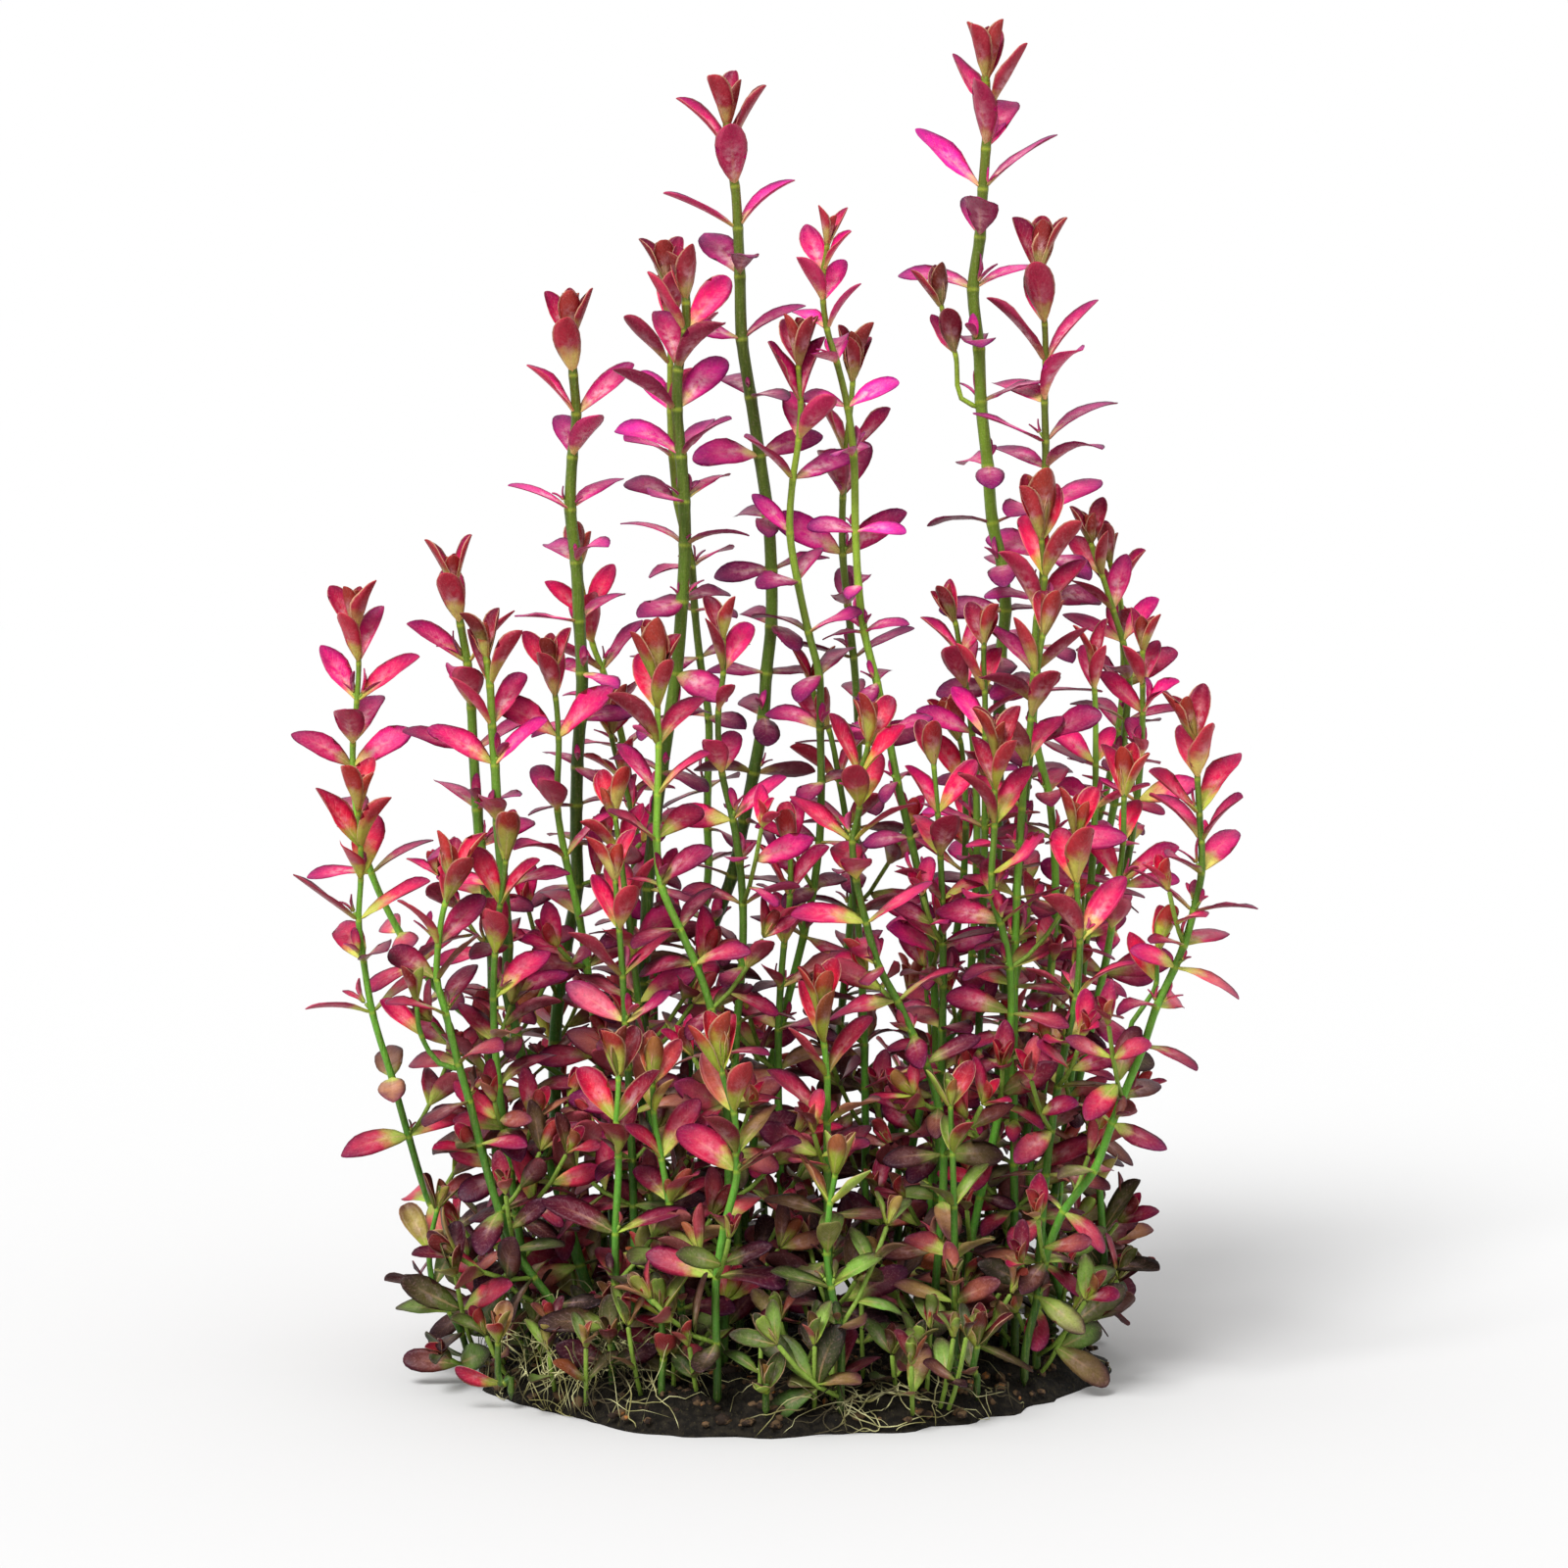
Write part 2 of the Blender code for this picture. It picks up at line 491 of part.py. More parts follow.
def new_material(name, colour, roughness):
    material = bpy.data.materials.new(name)
    material.use_nodes = True
    shader = material.node_tree.nodes["Principled BSDF"]
    shader.inputs["Base Color"].default_value = colour
    shader.inputs["Roughness"].default_value = roughness
    shader.inputs["Metallic"].default_value = 0
    return material


def new_object(name, bm, material, collection):
    """A mesh object from millimetres, faces pointing out."""
    bmesh.ops.recalc_face_normals(bm, faces=bm.faces[:])
    bmesh.ops.scale(bm, vec=(MM, MM, MM), verts=bm.verts[:])
    mesh = bpy.data.meshes.new(name)
    bm.to_mesh(mesh)
    bm.free()
    mesh.materials.append(material)
    obj = bpy.data.objects.new(name, mesh)
    collection.objects.link(obj)
    return obj


def root_mat(material, collection):
    """A short cylinder whose top is drawn in and raised to the crown, with a wandering outline."""
    bm = bmesh.new()
    bmesh.ops.create_cone(
        bm, cap_ends=True, segments=MAT_SIDES, radius1=MAT_RADIUS, radius2=MAT_RADIUS, depth=MAT_RIM
    )
    bmesh.ops.translate(bm, vec=(0, 0, MAT_RIM / 2), verts=bm.verts[:])
    top = max(bm.faces, key=lambda f: f.calc_center_median().z)
    crown = bmesh.ops.inset_region(bm, faces=[top], thickness=MAT_RADIUS - CROWN_RADIUS, depth=0)
    for vert in top.verts:
        vert.co.z = CROWN_HEIGHT
    for vert in bm.verts:
        edge = mat_edge(vert.co.x, vert.co.y)
        vert.co.x *= edge
        vert.co.y *= edge
    return new_object(MAT_NAME, bm, material, collection)


def stem_mesh(shoot, material, collection):
    """The stem as a four-sided tube of straight runs, made from a tapered curve with closed ends."""
    runs = max(2, round(shoot.knots[-2] / RING_SPACING))
    along = np.concatenate([[0, FOOT_STUB], np.linspace(FOOT_STUB, shoot.knots[-2], runs + 1)[1:]])
    course = shoot.at(along)
    curve = bpy.data.curves.new(shoot.name, "CURVE")
    curve.dimensions = "3D"
    curve.bevel_depth = MM
    curve.bevel_resolution = 0
    curve.use_fill_caps = True
    spline = curve.splines.new("POLY")
    spline.points.add(len(along) - 1)
    for point, spot, radius in zip(spline.points, course, shoot.half_width(along)):
        point.co = (*(spot * MM), 1)
        point.radius = radius
        point.tilt = math.radians(shoot.turn + 45)
    tube = bpy.data.objects.new(shoot.name + "_curve", curve)
    collection.objects.link(tube)
    bpy.context.view_layer.update()
    mesh = bpy.data.meshes.new_from_object(tube.evaluated_get(bpy.context.evaluated_depsgraph_get()))
    bpy.data.objects.remove(tube)
    bm = bmesh.new()
    bm.from_mesh(mesh)
    bpy.data.meshes.remove(mesh)
    bmesh.ops.remove_doubles(bm, verts=bm.verts[:], dist=0.00001)
    bmesh.ops.scale(bm, vec=(1 / MM, 1 / MM, 1 / MM), verts=bm.verts[:])
    stem = new_object(shoot.name, bm, material, collection)
    return stem, along, course


def add_blade(bm, spot, axes, length):
    """A leaf as a four-faced wedge: root and tip on the keel, and the two widest points above it."""
    along, across, upper = axes
    width = length * WIDTH_OF_LENGTH
    root = bm.verts.new(spot - along * BLADE_ROOT)
    tip = bm.verts.new(spot + along * length)
    middle = spot + along * length * WIDEST + upper * BLADE_KEEL
    left = bm.verts.new(middle + across * width / 2)
    right = bm.verts.new(middle - across * width / 2)
    bmesh.ops.convex_hull(bm, input=[root, tip, left, right])


def add_bud(bm, base, tip):
    """The closed young leaves at the top, as one double cone from the top node to the tip."""
    axis = tip - base
    length = np.linalg.norm(axis)
    head = axis / length
    made = bmesh.ops.create_uvsphere(bm, u_segments=BUD_SIDES, v_segments=2, radius=1)
    along, across, upper = blade_axes(head, 0, 90)
    for vert in made["verts"]:
        x, y, z = vert.co
        place_on_axis = base - head * 0.8 + head * (z + 1) / 2 * (length + 0.8)
        vert.co = place_on_axis + (along * x + across * y) * BUD_RADIUS * length / 12
    return made


def is_solid(k, spot, axes, length):
    """Leaves are solid at the top, at every few nodes, and where their tips bound the clump."""
    tip = spot + axes[0] * length
    return k < TOP_PAIRS or k % SOLID_EVERY == 0 or abs(tip[0]) > SIDE_REACH or abs(tip[1]) > DEPTH_REACH


def build_shoot(shoot, leaves, material, collection, joining):
    """Stem, leaves and bud, grown as one piece."""
    stem, along, course = stem_mesh(shoot, material, collection)
    bm = bmesh.new()
    add_bud(bm, shoot.at(shoot.knots[-2])[0], shoot.at(shoot.knots[-1])[0])
    for k, spot, axes, length in leaves:
        if is_solid(k, spot, axes, length):
            here = np.argmin(np.linalg.norm(shoot.at(shoot.nodes) - spot, axis=1))
            on_run = np.array([np.interp(shoot.nodes[here], along, course[:, i]) for i in range(3)])
            add_blade(bm, on_run, axes, length)
    foliage = new_object(shoot.name + "_foliage", bm, material, joining)
    foliage.hide_render = True
    foliage.display_type = "WIRE"
    join = stem.modifiers.new("leaves", "BOOLEAN")
    join.operation = "UNION"
    join.object = foliage
    join.solver = "EXACT"
    join.use_self = True


def clear_scene():
    for obj in list(bpy.data.objects):
        bpy.data.objects.remove(obj)


def main():
    clear_scene()
    plant = bpy.data.collections.new("florida_rotala_ramosior")
    joining = bpy.data.collections.new("foliage_to_join")
    bpy.context.scene.collection.children.link(plant)
    bpy.context.scene.collection.children.link(joining)
    foliage = new_material("leafy_shoot", LEAF_COLOUR, 0.45)
    roots = new_material("matted_roots", MAT_COLOUR, 0.9)
    root_mat(roots, plant)
    shoots = grow_shoots()
    leaves = set_leaves(shoots)
    for name, shoot in shoots.items():
        build_shoot(shoot, leaves[name], foliage, plant, joining)


main()
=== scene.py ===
import math

import bpy
import numpy as np
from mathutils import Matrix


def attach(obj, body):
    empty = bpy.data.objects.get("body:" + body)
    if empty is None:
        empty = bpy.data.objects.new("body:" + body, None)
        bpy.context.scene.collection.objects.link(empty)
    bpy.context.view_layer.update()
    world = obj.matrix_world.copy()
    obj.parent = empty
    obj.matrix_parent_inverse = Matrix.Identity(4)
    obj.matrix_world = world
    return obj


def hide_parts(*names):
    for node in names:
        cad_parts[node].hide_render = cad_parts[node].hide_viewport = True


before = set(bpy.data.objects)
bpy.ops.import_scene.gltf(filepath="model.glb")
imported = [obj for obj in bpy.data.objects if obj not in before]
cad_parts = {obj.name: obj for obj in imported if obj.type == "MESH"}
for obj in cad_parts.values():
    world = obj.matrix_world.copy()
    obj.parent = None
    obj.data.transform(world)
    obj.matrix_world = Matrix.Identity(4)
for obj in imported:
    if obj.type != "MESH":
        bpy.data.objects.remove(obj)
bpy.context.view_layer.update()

# The shoots' courses
# A shoot rises from the mat of roots with opposite pairs of leaves, each pair a quarter turn from the last.
# Its stem, nodes and leaves stand where the solid ones of the same name do, in millimetres.
MM = 0.001
MAT_RADIUS = 66.0
MAT_RIM = 3.5  # height of the mat at its edge
MAT_FLATTENED = 0.08  # how much shallower than wide the mat is
CROWN_RADIUS = 38.0  # the mat is level this far from its middle
CROWN_HEIGHT = 6.0
FOOT_GAP = 0.45  # between a stem's foot and the solid that it grows from
FOOT_STUB = 3.0  # how far a foot stands straight up
BRANCH_STUB = 1.4
BRANCH_FOOT = 0.8
STEM_TOP = 0.7
STEM_FOOT = 1.25
STEM_TAPER = 50.0  # length of the thinner top
STEM_SHOULDER = 0.92  # width where the thinner top begins, beside the foot's
INTERNODE = 9.0
WIDTH_OF_LENGTH = 0.38
SPREAD = (26, 35, 46, 56, 65, 72, 77, 81, 84, 86)  # degrees from the stem, from the top pair down
LENGTHS = (0.85, 0.99, 1.1, 1.14, 1.12, 1.08, 1.04, 1.0, 0.96, 0.9)  # beside the shoot's leaf length
TWIST = 12  # degrees that each of the pairs under the top two turns on beyond the quarter turn
DROOP = 20  # degrees that the older leaves at the front of a stem hang further
BACK_DEPTH = 18.0  # behind this and below this height, leaves face the back
BACK_HEIGHT = 125.0
LOWEST_TIP = 1.5
LOW_GROWTH = 70.0  # leaves below this height stand wider and are shorter
LOW_SPREAD = 18.0  # degrees
LEAF_GAP = 1.8  # least distance between leaves of two shoots
STEM_GAP = 0.9
STEM_NEAR = 14.0  # stems and leaves further than this from a leaf's middle can't touch it
LEAF_NEAR = 18.0
VIEW_TILT = math.radians(5)
VIEW_DISTANCE = 889.0
VIEW_HEIGHT = 121.2
# More turn, more lift and share of the length that a leaf is given, in order, until it stands clear of others
SHIFTS = (
    (0, 0, 1), (0, 10, 1), (14, 0, 1), (-14, 0, 1), (0, -10, 1), (26, 5, 1), (-26, 5, 1), (0, 20, 0.9),
    (16, 14, 0.85), (-16, 14, 0.85), (0, 0, 0.75), (34, 8, 0.75), (-34, 8, 0.75), (0, -16, 0.7), (0, 0, 0.55),
)

# Each shoot: its foot on the mat, the depth of its tip, the turn of its top pair in degrees, its leaf length,
# and its route across and up in the front view, from the tip down
SHOOTS = {
    "left_shoot_1": ((-30, 17), 14, 150, 14, (
        (-88, 162.2), (-87.2, 152.2), (-86.8, 145.8), (-87.2, 138), (-88, 129.2), (-88, 124.6),
        (-84.2, 103), (-78.4, 90.8), (-69.6, 78), (-62.6, 72.4), (-48.6, 64), (-40.8, 57),
    )),
    "left_shoot_2": ((-60, -1), -14, 70, 14.5, (
        (-86.2, 124.6), (-86.8, 115.2), (-86.4, 108), (-86.4, 101.6), (-86.8, 93.4), (-85.8, 85),
        (-84, 74.6), (-80, 61.2), (-76.6, 49.2), (-72.2, 35.6), (-64.4, 22.4), (-62, 15.2),
    )),
    "left_shoot_3": ((-56, 12), 4, 0, 14, (
        (-67.6, 169), (-67.2, 160.6), (-66, 153.6), (-64.6, 145.8), (-63.8, 136.8), (-63.4, 127.8),
        (-62.6, 116), (-62, 108.2), (-60.6, 97.8), (-59.6, 87), (-59.4, 75.6), (-59.4, 62.8), (-58.8, 52),
        (-58.4, 41.2),
    )),
    "left_shoot_4": ((-38, -8), -6, 45, 13.5, (
        (-62.6, 154.4), (-60.6, 146.2), (-60, 141.2), (-59.6, 133), (-59, 125), (-58.4, 113.2),
        (-57.2, 99.8), (-56.4, 88.2), (-56.4, 78.8), (-54.6, 69.8), (-52, 58.4), (-49.8, 49.8),
        (-46.6, 40.2), (-44, 31.2), (-41.6, 23),
    )),
    "left_shoot_5": ((-42, -22), -24, 20, 14, (
        (-69.2, 110), (-67.6, 101), (-69.2, 96.6), (-70.6, 88.2), (-70.8, 81.2), (-69, 74.2), (-66.4, 64),
        (-64.2, 56.4), (-62, 47.6), (-58, 33.8), (-54.8, 26.2), (-51, 20.4), (-46.6, 14.6),
    )),
    "left_shoot_6": ((-35, 4), 0, 165, 13.5, (
        (-48.6, 152.2), (-47.4, 143.2), (-46.6, 138.6), (-46, 130.6), (-46.2, 115.8), (-44.6, 106.2),
        (-41.8, 94), (-40.2, 83.8),
    )),
    "left_shoot_7": ((-46, 23), 16, 0, 14, (
        (-43.8, 223.2), (-43.6, 211.2), (-43, 204.6), (-42.4, 196.6), (-43.2, 187.8), (-43.6, 177.2),
        (-42.4, 166.4), (-41.8, 154.4), (-41.2, 143.8), (-42.2, 124.6), (-42.4, 109.2), (-42.2, 100.4),
        (-44.6, 87), (-46, 77.4),
    )),
    "left_shoot_8": ((-39, 37), 36, 100, 13, (
        (-42, 173.2), (-41.8, 165.4), (-40, 155.2), (-39, 149.6), (-37, 144.4),
    )),
    "left_shoot_9": ((-29, 31), 27, 50, 12, (
        (-34.8, 142.8), (-35.2, 131), (-32.6, 121.4), (-31, 115.2),
    )),
    "left_shoot_10": ((-25, -6), -6, 125, 13.5, (
        (-35.4, 122.2), (-34.4, 114.2), (-33.2, 105.2),
    )),
    "left_shoot_11": ((-30, -18), -18, 30, 13.5, (
        (-34.8, 110), (-34.4, 101.2), (-33.6, 91.2),
    )),
    "left_shoot_12": ((-52, -14), -20, 80, 13.5, (
        (-56.8, 112.2), (-56.8, 105.2), (-58, 96.2), (-59, 86.2),
    )),
    "left_low_shoot_1": ((-63, -12), -16, 35, 11.5, (
        (-69.2, 40.2), (-70.8, 34.2), (-72.4, 25.4), (-71.4, 18.4), (-68.2, 13.4), (-65.8, 9),
        (-63.8, 3.8),
    )),
    "left_low_shoot_2": ((-54, -38), -40, 75, 10.5, (
        (-58, 14.2), (-58.4, 7), (-57.2, -1.2),
    )),
    "middle_shoot_1": ((-26, 6), -2, 112, 15, (
        (-21, 230.8), (-20, 219.4), (-20, 213.6), (-21.6, 205.6), (-21.8, 197.6), (-21, 188),
        (-20.4, 178.8), (-20.2, 170), (-20.8, 158.4), (-22, 143.8), (-23.4, 134.2), (-26.4, 113.2),
        (-27.8, 99.8), (-28.2, 90.2), (-28.8, 80.6), (-29, 71),
    )),
    "middle_shoot_2": ((-17, 38), 30, 10, 14, (
        (-25, 232.8), (-23.8, 222), (-23.2, 214.6), (-23.2, 206.8), (-23.2, 197.2), (-22.8, 188),
        (-21.8, 178.8), (-18.8, 165.4), (-18.2, 156.6), (-17.2, 147), (-15.4, 134.8), (-15.6, 120.2),
        (-15.6, 112), (-15.4, 105.4), (-16.4, 93.4), (-17, 86.4),
    )),
    "middle_shoot_3": ((-20, 25), 14, 72, 15, (
        (-12, 266.2), (-11.6, 255), (-11.4, 250.2), (-10, 243.2), (-9.4, 234.6), (-9, 224.8), (-8.6, 212),
        (-6.8, 200.2), (-5, 188.2), (-3.2, 175.6), (-2.6, 164.8), (-2.6, 153.4), (-3.6, 143.8),
        (-4.2, 134.8), (-6.2, 123.4), (-8.2, 113.6), (-10.6, 102.4), (-14.8, 91.4),
    )),
    "middle_shoot_4": ((30, 9), 2, 40, 11, (
        (9.2, 237.8), (8.8, 230.8), (8, 225.8), (8, 219.6), (8.8, 214), (10.8, 207.2), (13, 198),
        (14.2, 188.2), (14.6, 172.6), (15.2, 161.6), (16.4, 152.2), (19, 141.8), (21.2, 131.6),
        (23.2, 121.4), (25.8, 110.2), (27.8, 101.6),
    )),
    "middle_shoot_5": ((-9, 14), 4, 112, 14, (
        (3.4, 218), (3, 206.2), (3.4, 199.2), (3, 191.4), (1.8, 183.4), (1.2, 172.6), (2.8, 162.4),
        (5, 152.2), (7.2, 143.2), (7.4, 132.4), (7.6, 121.4), (7.2, 109.2), (6, 99.8), (4, 90.2),
        (1.6, 80.6), (-0.4, 72.4), (-3, 63.4),
    )),
    "middle_shoot_6": ((8, 38), 28, 60, 14, (
        (14.6, 216.2), (14, 202.8), (12.6, 188.4), (12, 179.6), (12, 168), (13, 157.8), (14.2, 147),
    )),
    "middle_shoot_7": ((17, 19), 19, 25, 12, (
        (7.2, 146.4), (6, 140.2), (9.2, 132.2), (11.4, 121.2),
    )),
    "middle_shoot_8": ((-9, -10), -8, 140, 12.5, (
        (-12.8, 156), (-12.4, 150.2), (-12.4, 143.8), (-13.4, 135.8), (-12.6, 123.2), (-10.4, 113.8),
        (-8.4, 96.6), (-8.6, 83.8), (-9.6, 72.4),
    )),
    "middle_shoot_9": ((-12, -23), -20, 20, 14, (
        (-26.8, 156.2), (-25.8, 141.2), (-25.8, 136.2), (-25.6, 128.8), (-25.8, 119), (-26, 109.8),
        (-25, 100.4), (-21.2, 91.4), (-18, 84.4),
    )),
    "middle_shoot_10": ((30, -20), -26, 55, 14, (
        (16.8, 138.8), (17.2, 129.2), (15.4, 122.8), (15.4, 116.4), (14, 109.4), (14.8, 101.6),
        (16.8, 92.8), (19.4, 83.8), (23.2, 76.8), (26.4, 69.8), (29, 64),
    )),
    "middle_shoot_11": ((9, -30), -36, 30, 14, (
        (7.8, 84.4), (7.2, 73.6), (8.2, 67.8), (8.8, 61.4), (8.8, 52),
    )),
    "middle_shoot_12": ((0, 2), -4, 95, 13, (
        (0, 115.2), (1.2, 107.2), (1.2, 98.2), (0, 88.2),
    )),
    "right_shoot_1": ((16, 26), 24, 60, 16, (
        (41.2, 277.8), (41.2, 264.2), (41.6, 258.6), (41.2, 250.8), (40.6, 242.6), (40, 232.8),
        (38.6, 222.2), (39.8, 210), (40.2, 199.2), (41.6, 186), (42.6, 174.4), (44.6, 165.4),
        (45.2, 156.6), (44.2, 147), (44, 140.6), (43.6, 121.2), (43, 101.2), (39.8, 80), (35.4, 72.4),
        (25.6, 60.2), (20.6, 43.2),
    )),
    "right_shoot_2": ((43, 27), 24, 0, 16.5, (
        (52.8, 237.8), (52, 225), (53.2, 215), (53.4, 207.2), (53.2, 199), (53.4, 191), (53.4, 185.6),
    )),
    "right_shoot_3": ((45, -5), 2, 30, 15.5, (
        (51.4, 186.4), (52.6, 170.6), (53.2, 163), (51.6, 155.2), (51, 143.8), (50.6, 138), (51.6, 129.2),
        (54, 119.2), (55, 110.2), (55.4, 96.6), (54.8, 87),
    )),
    "right_shoot_4": ((47, 35), 26, 35, 12, (
        (62, 177.6), (62.8, 170), (65, 163.6), (67.2, 156.6), (69.2, 150.2), (70.4, 142.6), (69.8, 134.2),
    )),
    "right_shoot_5": ((37, 43), 36, 85, 12, (
        (66, 172.6), (66.6, 166.2), (68.6, 158.8), (69.2, 149.2),
    )),
    "right_shoot_6": ((55, 22), 12, 140, 11.5, (
        (74.6, 156.2), (73.2, 148.2), (73.2, 141.2), (73.2, 135.6),
    )),
    "right_shoot_7": ((47, -12), -8, 110, 13, (
        (55, 159.8), (52.8, 151.2), (51.6, 143.4),
    )),
    "right_shoot_8": ((56, 10), 4, 15, 12, (
        (62.8, 150.2), (63, 145), (63.4, 140), (63.6, 125.2),
    )),
    "right_shoot_9": ((34, 17), 12, 60, 12, (
        (31.4, 162.2), (35, 154), (36, 147.6), (37.2, 140.6),
    )),
    "right_shoot_10": ((39, 9), 2, 130, 12, (
        (42, 157.2), (40.8, 149.2), (41, 140),
    )),
    "right_shoot_11": ((36, -12), -23, 25, 14, (
        (44, 134.8), (43.2, 126), (43, 119.6), (43, 112.6), (42.4, 103), (42.6, 97.8), (44.2, 92.8),
    )),
    "right_shoot_12": ((31, -3), -8, 100, 13, (
        (30, 130.8), (30.6, 124.6), (31.4, 115),
    )),
    "right_shoot_13": ((23, 17), 18, 75, 12, (
        (31.6, 140.2), (36, 129.8), (36.8, 121.4),
    )),
    "right_shoot_14": ((51, -19), -22, 25, 14, (
        (60.8, 119), (59.6, 110), (59.8, 100.4), (60.4, 89), (59.6, 77.4), (57.6, 68.4),
    )),
    "right_shoot_15": ((53, 1), -4, 150, 14, (
        (70, 129.8), (69.4, 118.2), (69.2, 109.2), (68.2, 100.8),
    )),
    "right_shoot_16": ((48, -29), -34, 25, 14, (
        (80.4, 140), (84.2, 129.8), (84.4, 122.2), (84.8, 115), (85.2, 109.4), (85.2, 103), (83.6, 95.2),
        (81.6, 88.2), (79.8, 83.8), (76, 75.6), (73.4, 67.8), (69, 57), (67, 52), (63.2, 42.2), (57, 33.8),
        (53.2, 23.6), (51.8, 16.6),
    )),
    "right_shoot_17": ((58, -10), -15, 62, 13, (
        (52.8, 71.6), (53.8, 66.6), (53.4, 60.8), (52, 53.2), (50.4, 42), (52, 32.6),
    )),
    "right_low_shoot": ((61, -1), -8, 20, 13, (
        (61.6, 58.2), (63.6, 49.2), (64.4, 38.8), (65, 29.2), (65, 22.4), (60.8, 16.6),
    )),
    "front_shoot_1": ((-34, -36), -38, 60, 14, (
        (-35.8, 72.4), (-33.8, 60.8), (-34.2, 52), (-33.8, 45.2), (-34.4, 29.4), (-34.4, 19.2),
    )),
    "front_shoot_2": ((-20, -34), -36, 15, 13.5, (
        (-26.8, 71), (-26.8, 59.6), (-26.6, 54.2), (-25, 44.6), (-23.4, 35.6),
    )),
    "front_shoot_3": ((-13, -49), -46, 40, 14, (
        (-13.4, 75.6), (-12.6, 62.2), (-10.2, 54), (-9.6, 45.6), (-9.6, 42), (-12.2, 30.6), (-13.8, 20.4),
        (-13.8, 7),
    )),
    "front_shoot_4": ((11, -54), -52, 75, 11.5, (
        (11.6, 51.2), (10.4, 41.2), (9.4, 35.6), (8.8, 25.4), (9.6, 18.4), (11.4, 10.2),
    )),
    "front_shoot_5": ((34, -33), -36, 30, 11.5, (
        (33.8, 62.2), (34, 55.2), (34.4, 45.6),
    )),
    "front_low_shoot_1": ((-24, -45), -46, 10, 12, (
        (-26.4, 21.6), (-25.2, 12.8), (-24.6, 3.8),
    )),
    "front_low_shoot_2": ((-3.5, -56), -58, 55, 10.5, (
        (-3.6, 4.2), (-3.6, -2.6),
    )),
    "front_low_shoot_3": ((38, -41), -44, 5, 12, (
        (40, 15.2), (39.4, 6.4), (38.8, 1.2),
    )),
    "back_shoot_1": ((-48, 37), 42, 20, 13, (
        (-48, 77.2), (-47.4, 69.2),
    )),
    "back_shoot_2": ((-4, 52), 56, 70, 13, (
        (-6, 73.2), (-5.6, 65.2),
    )),
    "back_shoot_3": ((24, 47), 52, 120, 13, (
        (26, 85.2), (25.6, 77.2),
    )),
}

# How stout each stem is beside the common one: the tall ones are thick and the front ones slender.
STOUT = {
    "left_shoot_1": 0.66, "left_shoot_2": 0.66, "left_shoot_3": 1.0, "left_shoot_4": 1.0,
    "left_shoot_5": 0.75, "left_shoot_7": 1.15, "middle_shoot_1": 1.15, "middle_shoot_3": 1.12,
    "right_shoot_1": 1.12,
    "front_shoot_1": 0.68, "front_shoot_2": 0.66, "front_shoot_3": 0.7, "front_shoot_4": 0.66,
    "front_shoot_5": 0.66, "front_low_shoot_1": 0.6, "front_low_shoot_2": 0.6, "front_low_shoot_3": 0.6,
    "left_low_shoot_1": 0.6, "left_low_shoot_2": 0.6,
}
COMMON_STOUT = 0.72

# Side branches: the shoot that each one grows from, and the rest as above. The last point is the fork.
BRANCHES = {
    "right_branch_1": ("right_shoot_1", 23, 15, 12, (
        (31.4, 228.2), (32.2, 218.4), (35, 208.8), (39.8, 198.8),
    )),
    "left_branch": ("left_shoot_5", -24, 55, 12, (
        (-75.2, 84.4), (-75, 76.8), (-74, 69.8), (-66.6, 63.2),
    )),
    "right_branch_2": ("right_shoot_16", -30, 95, 12, (
        (77.6, 91.4), (76.2, 87), (76, 80.6), (73, 67),
    )),
}


def mat_edge(x, y):
    """The mat's outline as a share of its full radius in this direction: it wanders by three sine waves."""
    angle = np.arctan2(y, x)
    flattened = 1 - MAT_FLATTENED * np.sin(angle) ** 2
    return flattened + 0.03 * np.sin(3 * angle + 0.6) + 0.02 * np.sin(7 * angle + 2)


def mat_top(x, y):
    """Height of the mat: level under the crown, then falling evenly to the rim."""
    out = np.hypot(x, y) / mat_edge(x, y)
    return np.interp(out, [CROWN_RADIUS, MAT_RADIUS], [CROWN_HEIGHT, MAT_RIM])


def place(across, up, depth):
    """The point that shows at this place in the front view and stands this far back."""
    rise = up - VIEW_HEIGHT
    sine, cosine = math.sin(VIEW_TILT), math.cos(VIEW_TILT)
    beyond = (depth - rise * sine) / (cosine + rise * sine / VIEW_DISTANCE)
    larger = 1 + beyond / VIEW_DISTANCE
    return np.array([across * larger, depth, VIEW_HEIGHT + rise * larger * cosine - beyond * sine])


def shown_up(point):
    """How far up a point shows in the front view."""
    rise = point[2] - VIEW_HEIGHT
    sine, cosine = math.sin(VIEW_TILT), math.cos(VIEW_TILT)
    beyond = point[1] * cosine - rise * sine
    return VIEW_HEIGHT + (rise * cosine + point[1] * sine) / (1 + beyond / VIEW_DISTANCE)


def smooth(knots, points, at):
    """A smooth curve through points at knots: on each span, a cubic with the mean slopes at its ends."""
    slopes = np.gradient(points, knots, axis=0)
    i = np.clip(np.searchsorted(knots, at, side="right") - 1, 0, len(knots) - 2)
    step = (knots[i + 1] - knots[i])[:, None]
    t = (at - knots[i])[:, None] / step
    start = points[i] * (1 + 2 * t) * (1 - t) ** 2 + slopes[i] * step * t * (1 - t) ** 2
    end = points[i + 1] * (3 - 2 * t) * t**2 + slopes[i + 1] * step * (t - 1) * t**2
    return start + end


